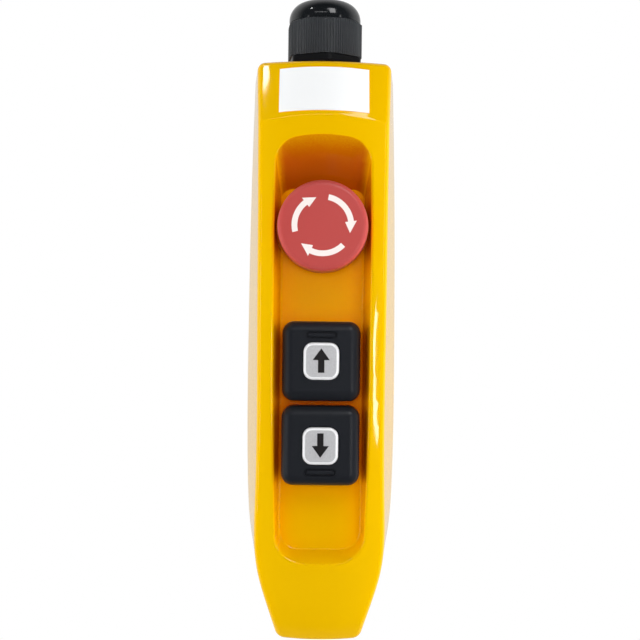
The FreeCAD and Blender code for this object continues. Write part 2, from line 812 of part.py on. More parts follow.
def name_label():
    """A bare plate bent to the brow's drum."""
    tilt = "-dim.label_tilt"
    centre_y = "dim.label_radius * cos(dim.label_tilt) - dim.crease_forward"
    centre_z = f"{TOP_Z} - dim.crease_drop - dim.label_radius * sin(dim.label_tilt)"
    drums = []
    for side, radius in (("outer", "dim.label_radius + dim.label_thick"), ("inner", "dim.label_radius")):
        drum = doc.addObject("Part::Cylinder", f"label_{side}")
        bind(drum, Radius=radius, Height="dim.crease_drop * 2")
        drums.append(place(drum, "0", centre_y, centre_z, (1, 0, 0), tilt))
    sheet = cut("label_sheet", *drums)
    blank = doc.addObject("Part::Box", "label_blank")
    bind(blank, Length="dim.label_width", Width="dim.label_radius", Height="dim.label_height")
    low = "(dim.label_rise - dim.label_height / 2)"
    reach = "(dim.label_radius + dim.label_thick * 2)"
    place(
        blank,
        "-dim.label_width / 2",
        f"{centre_y} - {reach} * cos(dim.label_tilt) + {low} * sin(dim.label_tilt)",
        f"{centre_z} + {reach} * sin(dim.label_tilt) + {low} * cos(dim.label_tilt)",
        (1, 0, 0),
        tilt,
    )
    label = doc.addObject("Part::Common", "name_label")
    label.Base = sheet
    label.Tool = blank
    return label


# --- Mounting plate --------------------------------------------------------------------------

def mounting_plate():
    front = "-dim.plate_forward"
    half_z = f"({PLATE_TOP} - {PLATE_BOTTOM}) / 2"
    middle = f"({PLATE_TOP} + {PLATE_BOTTOM}) / 2"
    sheet = box("mounting_sheet", "0", front, middle, "dim.plate_half", "dim.plate_thick", half_z)
    holes = []
    for name, z in (("up", UP_Z), ("down", DOWN_Z)):
        radius = "dim.push_stem_radius + 2 * dim.piece_gap"
        holes.append(rod(f"{name}_hole", "0", front, z, radius, "dim.plate_thick"))
    for number, (x, z) in enumerate(PLATE_SCREWS, start=1):
        radius = "dim.screw_radius + dim.screw_seat_gap"
        holes.append(rod(f"plate_hole_{number}", x, front, z, radius, "dim.plate_thick"))
    return cut("mounting_plate", sheet, fuse("mounting_holes", holes))


# --- Cable gland -----------------------------------------------------------------------------

def gland_washer():
    inner = "dim.thread_radius + dim.spigot_gap"
    return turned("gland_washer", [
        (inner, TOP_Z),
        (inner, FLANGE_BOTTOM),
        ("dim.washer_radius", FLANGE_BOTTOM),
        ("dim.washer_radius", TOP_Z),
    ], upright=True)


def gland_body():
    """The threaded body: spigot through the housing, hexagon flange, and slotted claws on top."""
    spigot_end = f"({TOP_Z} - dim.top_wall - dim.lock_nut_thick - dim.spigot_below_nut)"
    seat_z = f"({CAP_TOP} + dim.nose_proud - dim.insert_length - dim.insert_gap)"
    seat_r = "dim.insert_radius + dim.insert_gap"
    body = turned("gland_body", [
        ("dim.spigot_bore", spigot_end),
        ("dim.spigot_bore", seat_z),
        (seat_r, seat_z),
        (seat_r, "-dim.body_top"),
        ("dim.thread_radius", "-dim.body_top"),
        ("dim.thread_radius", spigot_end),
    ], upright=True)
    sketch = new_sketch(body, "XY_Plane", ("0", "0", FLANGE_BOTTOM), "dim.gland_clocking")
    draw(sketch, hexagon("dim.flange_across"))
    draw_circle(sketch, "0", "0", "dim.thread_radius - dim.piece_gap")
    flange = body.newObject("PartDesign::Pad", "gland_body_flange")
    flange.Profile = sketch
    flange.setExpression("Length", "dim.flange_thick")
    doc.recompute()
    upright_corner = lambda edge: edge.BoundBox.ZLength > size.flange_thick * 0.9 and math.hypot(
        middle_of(edge).x, middle_of(edge).y) > size.thread_radius + size.piece_gap
    dress(body, "Fillet", "Radius", "dim.flange_round", upright_corner)
    claw = new_sketch(body, "XZ_Plane")
    slot_top = "-dim.body_top"
    half = "dim.claw_slot / 2"
    draw(claw, [
        (f"-{half}", f"{slot_top} - dim.claw_length"),
        (f"-{half}", slot_top),
        (half, slot_top),
        (half, f"{slot_top} - dim.claw_length"),
    ])
    slot = body.newObject("PartDesign::Pocket", "gland_body_slot")
    slot.Profile = claw
    slot.Reversed = True
    slot.setExpression("Length", "dim.thread_radius * 2")
    doc.recompute()
    ring = body.newObject("PartDesign::PolarPattern", "gland_body_claws")
    ring.Originals = [slot]
    ring.Axis = (claw, ["V_Axis"])
    ring.Angle = 360
    ring.setExpression("Occurrences", "dim.claw_count")
    body.Tip = ring
    doc.recompute()
    return body


def gland_lock_nut():
    body = new_body("gland_lock_nut")
    top = f"({TOP_Z} - dim.top_wall)"
    sketch = new_sketch(body, "XY_Plane", ("0", "0", f"{top} - dim.lock_nut_thick"))
    draw(sketch, hexagon("dim.lock_nut_across"))
    draw_circle(sketch, "0", "0", "dim.thread_radius + dim.screw_gap")
    nut = body.newObject("PartDesign::Pad", "gland_lock_nut_pad")
    nut.Profile = sketch
    nut.setExpression("Length", "dim.lock_nut_thick")
    doc.recompute()
    return body


def gland_insert():
    """The rubber seal: a plug with a cone that the cap squeezes, and a nose in the cap's mouth."""
    return turned("gland_insert", [
        ("dim.cable_radius", "-dim.insert_length"),
        ("dim.cable_radius", "0"),
        ("dim.nose_radius", "0"),
        ("dim.nose_radius", "-dim.nose_length"),
        ("dim.insert_radius", "-dim.insert_shoulder"),
        ("dim.insert_radius", "-dim.insert_length"),
    ], upright=True)


def collar_outline(z):
    """The cap's grip: a hexagon with rounded-off corners, cut by fine upright ribs."""
    points = []
    steps = int(size.rib_count) * 4
    corner_step = 360 / 6
    for step in range(steps):
        angle = 360 * (step + 0.5) / steps
        from_flat = (angle - size.gland_clocking) % corner_step - corner_step / 2
        flat = size.collar_flat / math.cos(math.radians(from_flat))
        radius = min(flat, size.collar_corner)
        if step % 4 in (2, 3):
            radius -= size.rib_depth
        heading = math.radians(angle - 90)
        points.append(spot(radius * math.cos(heading), radius * math.sin(heading), z))
    return Part.Wire(Part.makePolygon(points + points[:1]))


def turn_upright(profile):
    """A solid turned about Z from a closed (r, z) polygon; (r, z, mid_r, mid_z) starts an arc."""
    edges = []
    for index, step in enumerate(profile):
        start = spot(step[0], 0, step[1])
        following = profile[(index + 1) % len(profile)]
        stop = spot(following[0], 0, following[1])
        side = Part.LineSegment(start, stop)
        if len(step) == 4:
            side = Part.Arc(start, spot(step[2], 0, step[3]), stop)
        edges.append(side.toShape())
    return Part.Face(Part.Wire(edges)).revolve(spot(0, 0, 0), spot(0, 0, 1), 360)


def gland_cap():
    """The domed cap: its ribbed grip has several hundred faces, so it is made as a shape."""
    top = value(CAP_TOP)
    bottom = value(CAP_BOTTOM)
    grip_top = top - size.dome_height
    grip = Part.Face(collar_outline(bottom)).extrude(spot(0, 0, grip_top - bottom))
    envelope = turn_upright([
        (0, bottom),
        (size.collar_corner + size.rib_depth, bottom),
        (size.collar_corner + size.rib_depth, grip_top - size.collar_chamfer),
        (size.collar_flat - size.rib_depth, grip_top),
        (0, grip_top),
    ])
    mouth = size.nose_radius + size.mouth_gap
    lip = mouth + size.dome_lip
    base = size.collar_flat
    dome = turn_upright([
        (0, grip_top),
        (base, grip_top, (base + lip) / 2 + size.dome_bow / 2, (grip_top + top) / 2 + size.dome_bow / 2),
        (lip, top),
        (0, top),
    ])
    slope = (size.insert_shoulder - size.nose_length) / (size.insert_radius - size.nose_radius)
    cone_top = -size.nose_length + size.cone_gap - slope * size.mouth_gap
    cone_bottom = -size.insert_shoulder + size.cone_gap
    bore_radius = size.thread_radius + size.thread_gap
    bore_top = -size.body_top + size.insert_gap * 2
    inside = turn_upright([
        (0, bottom),
        (bore_radius, bottom),
        (bore_radius, bore_top),
        (size.insert_radius + size.insert_gap, bore_top),
        (size.insert_radius + size.insert_gap, cone_bottom - slope * size.insert_gap),
        (mouth, cone_top),
        (mouth, top),
        (0, top),
    ])
    return named("gland_cap", grip.common(envelope).fuse(dome).cut(inside).removeSplitter())


# --- Emergency stop --------------------------------------------------------------------------
# Turned parts lie on the stop's own Y axis and are placed at its height.

def at_stop(body):
    body.setExpression("Placement.Base.z", STOP_Z)
    return body


def estop_head():
    """The mushroom: crowned face, rounded edge, hollow skirt and a hub that the stem turns in."""
    face = "-dim.head_forward"
    rim_y = f"({face} + dim.head_crown)"
    edge_y = f"({rim_y} + dim.head_edge)"
    skirt_y = f"({FLOOR_Y} - dim.stop_travel - dim.skirt_clearance)"
    hub_y = f"({COLLAR_FRONT} - dim.stop_travel - dim.stop_clearance)"
    ceiling = f"({face} + dim.head_web)"
    inner = "dim.skirt_radius - dim.skirt_wall"
    hole = "dim.stem_radius + dim.stem_gap"
    hole_end = f"({ceiling} - dim.piece_gap)"
    edge_in = "(dim.head_radius - dim.head_edge)"
    bend = "dim.head_edge * sqrt(0.5)"
    return at_stop(turned("estop_head", [
        (face, "0", f"{face} + dim.head_crown / 4", f"{edge_in} / 2"),
        (rim_y, edge_in, f"{edge_y} - {bend}", f"{edge_in} + {bend}"),
        (edge_y, "dim.head_radius"),
        (skirt_y, "dim.skirt_radius"),
        (skirt_y, inner),
        (ceiling, inner),
        (ceiling, "dim.hub_radius"),
        (hub_y, "dim.hub_radius"),
        (hub_y, hole),
        (hole_end, hole),
        (hole_end, "0"),
    ]))


def estop_seal():
    inner = "dim.barrel_radius + dim.spigot_gap"
    return at_stop(turned("estop_seal", [
        (SEAL_FRONT, inner),
        (SEAL_FRONT, "dim.stop_seal_radius"),
        (FLOOR_Y, "dim.stop_seal_radius"),
        (FLOOR_Y, inner),
    ]))


def estop_collar():
    """The black collar and its threaded barrel, with a land at the front that guides the stem."""
    hole = "dim.stem_radius + dim.stem_gap"
    land = f"({COLLAR_FRONT} + dim.stop_land)"
    end = "-dim.barrel_forward"
    body = turned("estop_collar", [
        (COLLAR_FRONT, hole),
        (COLLAR_FRONT, "dim.stop_collar_radius"),
        (SEAL_FRONT, "dim.stop_collar_radius"),
        (SEAL_FRONT, "dim.barrel_radius"),
        (end, "dim.barrel_radius"),
        (end, "dim.barrel_bore"),
        (land, "dim.barrel_bore"),
        (land, hole),
    ])
    at_front = lies_at_y(COLLAR_FRONT)
    outer_edge = lambda edge: at_front(edge) and edge.BoundBox.XMax > size.stop_collar_radius - NEAR
    dress(body, "Chamfer", "Size", "dim.stop_collar_chamfer", outer_edge)
    return at_stop(body)


def estop_ring_nut():
    hole = "dim.barrel_radius + dim.screw_gap"
    return at_stop(hex_nut("estop_ring_nut", "dim.ring_nut_across", hole, FLOOR_BACK, "dim.ring_nut_thick"))


def estop_stem():
    """The plunger: shaft, spring disc and the thin tip that carries the contact bridge."""
    start = "(dim.head_web - dim.head_forward)"
    tip_end = f"({BLOCK_STOP_Y} + {CLOSED_BRIDGE} + dim.bridge_thick + dim.tip_past)"
    disc_front = f"({DISC_BACK} - dim.disc_thick)"
    shaft_end = "(-dim.barrel_forward - dim.stop_travel - dim.stop_clearance)"
    return at_stop(turned("estop_stem", [
        (start, "0"),
        (start, "dim.stem_radius"),
        (disc_front, "dim.stem_radius"),
        (disc_front, "dim.disc_radius"),
        (DISC_BACK, "dim.disc_radius"),
        (DISC_BACK, "dim.stem_radius"),
        (shaft_end, "dim.stem_radius"),
        (shaft_end, "dim.tip_radius"),
        (tip_end, "dim.tip_radius"),
        (tip_end, "0"),
    ]))


def estop_spring():
    land_back = f"({COLLAR_FRONT} + dim.stop_land)"
    length = f"{DISC_BACK} - dim.disc_thick - {land_back}"
    body = coil("estop_spring", "dim.trip_coil", "dim.trip_wire", "dim.trip_turns", length)
    return place(body, "0", land_back, STOP_Z, (1, 0, 0), "-90")


def estop_latch_sleeve():
    end = "-dim.barrel_forward"
    outer = "dim.barrel_bore - dim.screw_gap"
    return at_stop(turned("estop_latch_sleeve", [
        (SLEEVE_FRONT, "dim.sleeve_bore"),
        (SLEEVE_FRONT, outer),
        (end, outer),
        (end, "dim.sleeve_bore"),
    ]))


# --- Push buttons ----------------------------------------------------------------------------

def boot(name, z, bar_side):
    """The rubber boot over a push button, with a window for the plate and a bar to feel for."""
    body = new_body(name)
    front = "-dim.boot_forward"
    height = "(dim.boot_forward - dim.floor_forward)"
    outline = rounded("dim.boot_width / 2", "dim.boot_height / 2", "dim.boot_corner")
    pad(body, outline, front, height)
    dress(body, "Fillet", "Radius", "dim.boot_edge", lies_at_y(front))
    inner = "dim.boot_width / 2 - dim.boot_wall"
    inner_high = "dim.boot_height / 2 - dim.boot_wall"
    hollow = rounded(inner, inner_high, "dim.boot_corner - dim.boot_wall")
    pocket(body, hollow, f"{front} + dim.boot_wall", f"{height} - dim.boot_wall")
    window = rounded("dim.window_width / 2", "dim.window_height / 2", "dim.window_corner")
    pocket(body, window, front, "dim.boot_wall")
    end = "dim.bar_height / 2"
    bar = rounded("dim.bar_width / 2", end, "dim.bar_corner", f"{bar_side} * dim.bar_rise")
    pad(body, bar, f"{front} - dim.bar_proud", "dim.bar_proud + dim.boot_wall / 2")
    body.setExpression("Placement.Base.z", z)
    return body


def plate(name, z):
    """The silver plate that shows in a boot's window, with a bevelled edge."""
    body = new_body(name)
    front = "(-dim.boot_forward - dim.plate_proud)"
    half_x = "dim.window_width / 2 - dim.piece_gap"
    half_z = "dim.window_height / 2 - dim.piece_gap"
    pad(body, rounded(half_x, half_z, "dim.plate_corner"), front, f"{PUSHER_Y} - {front}")
    dress(body, "Chamfer", "Size", "dim.plate_bevel", lies_at_y(front))
    body.setExpression("Placement.Base.z", z)
    return body


def pusher(name, z):
    body = new_body(name)
    outline = rounded("dim.pusher_half", "dim.pusher_half", "dim.pusher_corner")
    pad(body, outline, PUSHER_Y, "dim.pusher_thick")
    body.setExpression("Placement.Base.z", z)
    return body


def push_stem(name, z):
    start = f"({PUSHER_Y} + dim.pusher_thick)"
    shoulder = "-dim.push_stem_end"
    tip_end = f"({BLOCK_PUSH_Y} + dim.open_bridge_at + dim.bridge_thick + dim.tip_past)"
    body = turned(name, [
        (start, "0"),
        (start, "dim.push_stem_radius"),
        (shoulder, "dim.push_stem_radius"),
        (shoulder, "dim.tip_radius"),
        (tip_end, "dim.tip_radius"),
        (tip_end, "0"),
    ])
    body.setExpression("Placement.Base.z", z)
    return body


def return_spring(name, z):
    start = f"({BLOCK_PUSH_Y} + dim.open_bridge_at + dim.bridge_thick)"
    length = "dim.block_depth - dim.block_wall - dim.open_bridge_at - dim.bridge_thick"
    body = coil(name, "dim.coil_radius", "dim.coil_wire", "dim.coil_turns", length)
    return place(body, "0", start, z, (1, 0, 0), "-90")


# --- Contact blocks --------------------------------------------------------------------------

def contact_block(prefix, y, z, strip_at, tip_hole):
    """A block with a chamber for the bridge and, at each end, a terminal pocket open at the back."""
    outer_name = f"{prefix}_block_outer"
    outer = box(outer_name, "0", y, z, "dim.block_half_x", "dim.block_depth", "dim.block_half_z")
    depth = "(dim.block_depth - 2 * dim.block_wall)"
    chamber = box(
        f"{prefix}_chamber", "0", f"{y} + dim.block_wall", z, "dim.block_half_x", depth, "dim.chamber_half")
    hole = rod(f"{prefix}_tip_hole", "0", y, z, tip_hole, "dim.block_wall")
    spaces = [chamber, hole]
    for end, side in (("upper", 1), ("lower", -1)):
        strip_z = f"{z} + {side} * (dim.strip_near + dim.strip_far) / 2"
        strip_y = f"{y} + {strip_at}"
        half_long = "(dim.strip_far - dim.strip_near) / 2"
        spaces.append(box(
            f"{prefix}_{end}_slot", "0", strip_y, strip_z, "dim.strip_half_x", "dim.strip_thick", half_long))
        terminal_z = f"{z} + {side} * dim.terminal_offset"
        behind = f"({strip_at} + dim.strip_thick)"
        spaces.append(box(
            f"{prefix}_{end}_pocket", "0", f"{y} + {behind}", terminal_z, "dim.pocket_half",
            f"dim.block_depth - {behind}", "dim.pocket_half"))
        spaces.append(rod(
            f"{prefix}_{end}_thread", "0", f"{strip_y} - dim.terminal_reach", terminal_z,
            "dim.terminal_radius", "dim.terminal_reach"))
    return cut(f"{prefix}_contact_block", outer, fuse(f"{prefix}_spaces", spaces))


def fixed_contacts(prefix, y, z, strip_at, points_behind):
    """Two strips with a contact point each, on the side that the bridge meets."""
    pieces = []
    for end, side in (("upper", 1), ("lower", -1)):
        strip_z = f"{z} + {side} * (dim.strip_near + dim.strip_far) / 2"
        strip_y = f"{y} + {strip_at}"
        half_long = "(dim.strip_far - dim.strip_near) / 2"
        strip = box(
            f"{prefix}_{end}_strip", "0", strip_y, strip_z, "dim.strip_half_x", "dim.strip_thick", half_long)
        point_y = f"{strip_y} + dim.strip_thick" if points_behind else f"{strip_y} - dim.point_thick"
        point_z = f"{z} + {side} * dim.point_offset"
        point = rod(f"{prefix}_{end}_point", "0", point_y, point_z, "dim.point_radius", "dim.point_thick")
        hole_z = f"{z} + {side} * dim.terminal_offset"
        hole = rod(f"{prefix}_{end}_hole", "0", strip_y, hole_z, "dim.terminal_radius", "dim.strip_thick")
        pieces.append(cut(f"{prefix}_{end}_contact", fuse(f"{prefix}_{end}_blank", [strip, point]), hole))
    return group(f"{prefix}_fixed_contacts", pieces)


def terminal_screws(prefix, y, z, strip_at):
    pieces = []
    for end, side in (("upper", 1), ("lower", -1)):
        name = f"{prefix}_{end}_terminal"
        screw_z = f"{z} + {side} * dim.terminal_offset"
        behind = f"{y} + {strip_at} + dim.strip_thick"
        reach = "(dim.terminal_reach + dim.strip_thick)"
        shank = rod(f"{name}_shank", "0", f"{behind} - {reach}", screw_z, "dim.terminal_radius", reach)
        head = rod(f"{name}_head", "0", behind, screw_z, "dim.terminal_head", "dim.terminal_head_thick")
        slot = box(
            f"{name}_slot", "0", f"{behind} + dim.terminal_head_thick / 2", screw_z,
            "dim.terminal_head", "dim.terminal_head_thick / 2", "dim.terminal_slot / 2")
        pieces.append(cut(name, fuse(f"{name}_blank", [shank, head]), slot))
    return group(f"{prefix}_terminal_screws", pieces)


def bridge(prefix, y, z, bridge_at, points_behind):
    """The moving strip that joins the two fixed contacts, held on the stem's tip."""
    strip = box(
        f"{prefix}_bridge_strip", "0", f"{y} + {bridge_at}", z,
        "dim.bridge_half_x", "dim.bridge_thick", "dim.bridge_half_z")
    pieces = [strip]
    for side in (1, -1):
        point_y = f"{y} + {bridge_at} + dim.bridge_thick"
        if not points_behind:
            point_y = f"{y} + {bridge_at} - dim.point_thick"
        point_z = f"{z} + {side} * dim.point_offset"
        name = f"{prefix}_bridge_point_{len(pieces)}"
        pieces.append(rod(name, "0", point_y, point_z, "dim.point_radius", "dim.point_thick"))
    hole = rod(f"{prefix}_bridge_hole", "0", f"{y} + {bridge_at}", z, "dim.tip_radius", "dim.bridge_thick")
    return cut(f"{prefix}_bridge", fuse(f"{prefix}_bridge_blank", pieces), hole)


# --- Making and writing the parts ------------------------------------------------------------

parts = [
    front_shell(),
    back_cover(),
    cover_gasket(),
    screw_set("cover_screws", COVER_SCREWS, COVER_SEAT, COVER_REACH),
    screw_inserts(),
    name_label(),
    mounting_plate(),
    screw_set("plate_screws", PLATE_SCREWS, BLOCK_PUSH_Y, "dim.plate_thick + dim.plate_screw_reach"),
    gland_washer(),
    gland_body(),
    gland_lock_nut(),
    gland_insert(),
    gland_cap(),
    estop_head(),
    estop_seal(),
    estop_collar(),
    estop_ring_nut(),
    estop_stem(),
    estop_spring(),
    estop_latch_sleeve(),
    contact_block("estop", BLOCK_STOP_Y, STOP_Z, "dim.closed_strip_at", "dim.tip_radius + dim.piece_gap"),
    fixed_contacts("estop", BLOCK_STOP_Y, STOP_Z, "dim.closed_strip_at", True),
    terminal_screws("estop", BLOCK_STOP_Y, STOP_Z, "dim.closed_strip_at"),
    bridge("estop", BLOCK_STOP_Y, STOP_Z, CLOSED_BRIDGE, False),
]
for prefix, z, bar_side in (("up", UP_Z, 1), ("down", DOWN_Z, -1)):
    parts += [
        boot(f"{prefix}_boot", z, bar_side),
        plate(f"{prefix}_plate", z),
        pusher(f"{prefix}_pusher", z),
        push_stem(f"{prefix}_stem", z),
        return_spring(f"{prefix}_return_spring", z),
        contact_block(prefix, BLOCK_PUSH_Y, z, OPEN_STRIP, "dim.push_stem_radius + dim.piece_gap"),
        fixed_contacts(prefix, BLOCK_PUSH_Y, z, OPEN_STRIP, False),
        terminal_screws(prefix, BLOCK_PUSH_Y, z, OPEN_STRIP),
        bridge(prefix, BLOCK_PUSH_Y, z, "dim.open_bridge_at", True),
    ]
doc.recompute()

for thing in doc.Objects:
    if {"Invalid", "Error"} & set(thing.State):
        raise RuntimeError(f"{thing.Label} failed: {thing.State}")
for part in parts:
    part.Label = part.Name
    if part.Shape.isNull() or not part.Shape.isValid():
        raise RuntimeError(f"{part.Label} has no valid shape")

os.makedirs("parts", exist_ok=True)
for part in parts:
    part.Shape.exportStep(f"parts/{part.Label}.step")
    extent = part.Shape.BoundBox
    print(f"{part.Label}: {part.Shape.Volume:.1f} mm3, y {extent.YMin:.2f} to {extent.YMax:.2f}")
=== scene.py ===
# %% [markdown]
# # A hoist pendant
#
# A pendant control station hangs on its cord beside a hoist, at the height of a hand. Its long
# yellow housing holds a mushroom emergency stop and two push buttons in a thumb well, and a cable
# gland closes the top. The CAD model fixes every size and every joint. This script gives it its
# looks: each visible surface gets a material, and the parts that need softer shapes are modelled
# again.
#
# We start by loading the model.

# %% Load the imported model
import json
import math

import bmesh
import bpy
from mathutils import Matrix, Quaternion, Vector
from mathutils.bvhtree import BVHTree


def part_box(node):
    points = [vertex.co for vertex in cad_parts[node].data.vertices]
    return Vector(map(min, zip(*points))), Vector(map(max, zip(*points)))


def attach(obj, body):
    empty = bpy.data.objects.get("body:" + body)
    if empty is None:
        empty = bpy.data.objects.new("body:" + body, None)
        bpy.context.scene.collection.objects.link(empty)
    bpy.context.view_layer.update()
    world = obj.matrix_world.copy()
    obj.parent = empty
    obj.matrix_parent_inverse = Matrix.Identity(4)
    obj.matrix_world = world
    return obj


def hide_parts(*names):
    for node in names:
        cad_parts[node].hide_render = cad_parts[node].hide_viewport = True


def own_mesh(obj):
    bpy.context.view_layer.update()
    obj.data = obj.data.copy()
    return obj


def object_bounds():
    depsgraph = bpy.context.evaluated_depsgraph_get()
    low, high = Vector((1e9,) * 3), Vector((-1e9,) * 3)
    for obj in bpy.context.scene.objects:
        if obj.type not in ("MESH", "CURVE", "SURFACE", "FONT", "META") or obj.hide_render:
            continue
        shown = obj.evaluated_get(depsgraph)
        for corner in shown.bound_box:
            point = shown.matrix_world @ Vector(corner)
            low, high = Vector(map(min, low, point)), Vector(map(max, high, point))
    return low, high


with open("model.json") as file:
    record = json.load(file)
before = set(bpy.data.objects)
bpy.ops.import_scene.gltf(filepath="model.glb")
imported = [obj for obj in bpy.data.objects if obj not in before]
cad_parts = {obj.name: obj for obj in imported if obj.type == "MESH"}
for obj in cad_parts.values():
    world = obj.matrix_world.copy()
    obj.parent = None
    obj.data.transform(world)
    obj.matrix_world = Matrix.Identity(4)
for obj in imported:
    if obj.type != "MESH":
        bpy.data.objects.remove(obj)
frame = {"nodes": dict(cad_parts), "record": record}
nodes = frame["nodes"]
cad_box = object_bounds()
MM = 0.001
print("CAD box in mm:", [[round(number / MM, 1) for number in corner] for corner in cad_box])

# %% [markdown]
# ## Camera
#
# The pendant is seen straight from the front, from a little over half a metre away and at the
# height of the upper button. From there we look slightly up at the gland and slightly down at the
# tail. A long lens keeps the perspective calm. The camera rolls by a fraction of a degree, and its
# frame is shifted a little, which moves the view without bending it.

# %% Place the camera
camera = bpy.data.objects.new("camera", bpy.data.cameras.new("camera"))
bpy.context.scene.collection.objects.link(camera)
bpy.context.scene.camera = camera
camera.data.sensor_width = 36
camera.data.lens = 73.97
camera.data.shift_y = 0.0469
camera.location = (-0.6 * MM, -607 * MM, -160.3 * MM)
camera.rotation_euler = (math.radians(90), math.radians(-0.65), 0)
print("Lens in mm:", camera.data.lens)

# %% [markdown]
# ## Helpers for modelling
#
# Blender's operators act on whatever is selected, as they do by hand. These helpers keep that under
# control: `focus` selects one piece and nothing else, `pick` selects faces, edges or corners by
# their place, and `modify` adds a modifier and applies it at once. `middle` gives a face's middle,
# which is what most of the tests read. Most pieces here face the front, so their rims and caps lie
# at one depth, and `pick_rim` and `pick_cap` find them by it.

# %% Helpers that select and modify
def focus(piece):
    bpy.ops.object.select_all(action="DESELECT")
    piece.select_set(True)
    bpy.context.view_layer.objects.active = piece


def start_edit(piece):
    focus(piece)
    bpy.ops.object.mode_set(mode="EDIT")


def stop_edit():
    bpy.ops.object.mode_set(mode="OBJECT")


def middle(item):
    """The middle of a face or an edge, or the place of a corner."""
    corners = getattr(item, "verts", [item])
    return sum((corner.co for corner in corners), Vector()) / len(corners)


def near(number, wanted):
    """Tells whether two lengths agree to a hundredth of a millimetre."""
    return abs(number - wanted) < 0.01 * MM


def pick(kind, test):
    """Selects the faces, edges or corners of the mesh in edit mode that pass a test."""
    bpy.ops.mesh.select_mode(type=kind)
    bpy.ops.mesh.select_all(action="DESELECT")
    data = bpy.context.object.data
    mesh = bmesh.from_edit_mesh(data)
    items = {"FACE": mesh.faces, "EDGE": mesh.edges, "VERT": mesh.verts}[kind]
    chosen = [item for item in items if test(item)]
    for item in chosen:
        item.select_set(True)
    mesh.select_flush_mode()
    bmesh.update_edit_mesh(data)
    return len(chosen)


def pick_rim(depth):
    """Selects the edges whose two ends lie at a depth, which is a place along Y."""
    return pick("EDGE", lambda edge: all(near(corner.co.y, depth) for corner in edge.verts))


def pick_cap(depth):
    """Selects the face that closes a piece at a depth. Only that one has many corners."""
    return pick("FACE", lambda face: near(middle(face).y, depth) and len(face.verts) > 4)


def modify(piece, kind, **settings):
    focus(piece)
    modifier = piece.modifiers.new(kind, kind)
    for name, setting in settings.items():
        setattr(modifier, name, setting)
    bpy.ops.object.modifier_apply(modifier=modifier.name)


# %% Helpers that start, shape and finish a piece
def adopt(name):
    """Names the primitive that was just added, and moves its place and turn into its mesh."""
    piece = bpy.context.object
    piece.name = name
    focus(piece)
    bpy.ops.object.transform_apply(location=True, rotation=True, scale=True)
    return piece


def block(name, low, high):
    """A box between two corners, which is where most of the moulded pieces start."""
    low, high = Vector(low), Vector(high)
    bpy.ops.mesh.primitive_cube_add(size=1, location=(low + high) / 2, scale=high - low)
    return adopt(name)


def bevel(width, segments):
    bpy.ops.mesh.bevel(offset=width, segments=segments, affect="EDGES")


def extrude(way=(0, 0, 0)):
    """Pulls new faces or edges out of what is selected, by a step along X, Y and Z."""
    bpy.ops.mesh.extrude_region_move(TRANSFORM_OT_translate={"value": way})


def merge_doubles():
    """Joins the corners that lie on each other, all over the piece."""
    bpy.ops.mesh.select_all(action="SELECT")
    bpy.ops.mesh.remove_doubles(threshold=0.001 * MM)


def finish(piece, material, body, replaced=(), angle=35):
    """Shades a piece smoothly, gives it its material, and ties it to its CAD body."""
    focus(piece)
    bpy.ops.object.shade_smooth_by_angle(angle=math.radians(angle))
    modify(piece, "WEIGHTED_NORMAL", keep_sharp=True)
    piece.data.materials.clear()
    piece.data.materials.append(material)
    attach(piece, body)
    if replaced:
        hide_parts(*replaced)
    size = [round(number / MM, 1) for number in piece.dimensions]
    print(piece.name, "size in mm:", size, "faces:", len(piece.data.polygons))
    return piece


# %% [markdown]
# ## Helpers for materials
#
# A colour picker shows sRGB values, and a shader calculates with linear light. One function turns
# one into the other, so every colour below can be written as its hex value. Another function adds a
# node and links it, which keeps each material short enough to read. A Mix node repeats its socket
# names for numbers, vectors and colours, so its sockets are told apart by their numbers.

# %% Helpers for colours and nodes
WHITE = (1, 1, 1, 1)
COLOUR_A, COLOUR_B, MIXED_COLOUR = 6, 7, 2
NUMBER_A, NUMBER_B, MIXED_NUMBER = 2, 3, 0


def linear(hex_colour):
    channels = [int(hex_colour[start:start + 2], 16) / 255 for start in (1, 3, 5)]
    return [c / 12.92 if c <= 0.04045 else ((c + 0.055) / 1.055) ** 2.4 for c in channels] + [1]


def add(tree, kind, inputs=None, **settings):
    """Adds a node. Each input is a plain value, or the output socket of another node."""
    made = tree.nodes.new(kind)
    for name, setting in settings.items():
        setattr(made, name, setting)
    for name, given in (inputs or {}).items():
        if isinstance(given, bpy.types.NodeSocket):
            tree.links.new(given, made.inputs[name])
        else:
            made.inputs[name].default_value = given
    return made


def new_tree(name):
    material = bpy.data.materials.new(name)
    material.use_nodes = True
    material.node_tree.nodes.clear()
    return material, material.node_tree
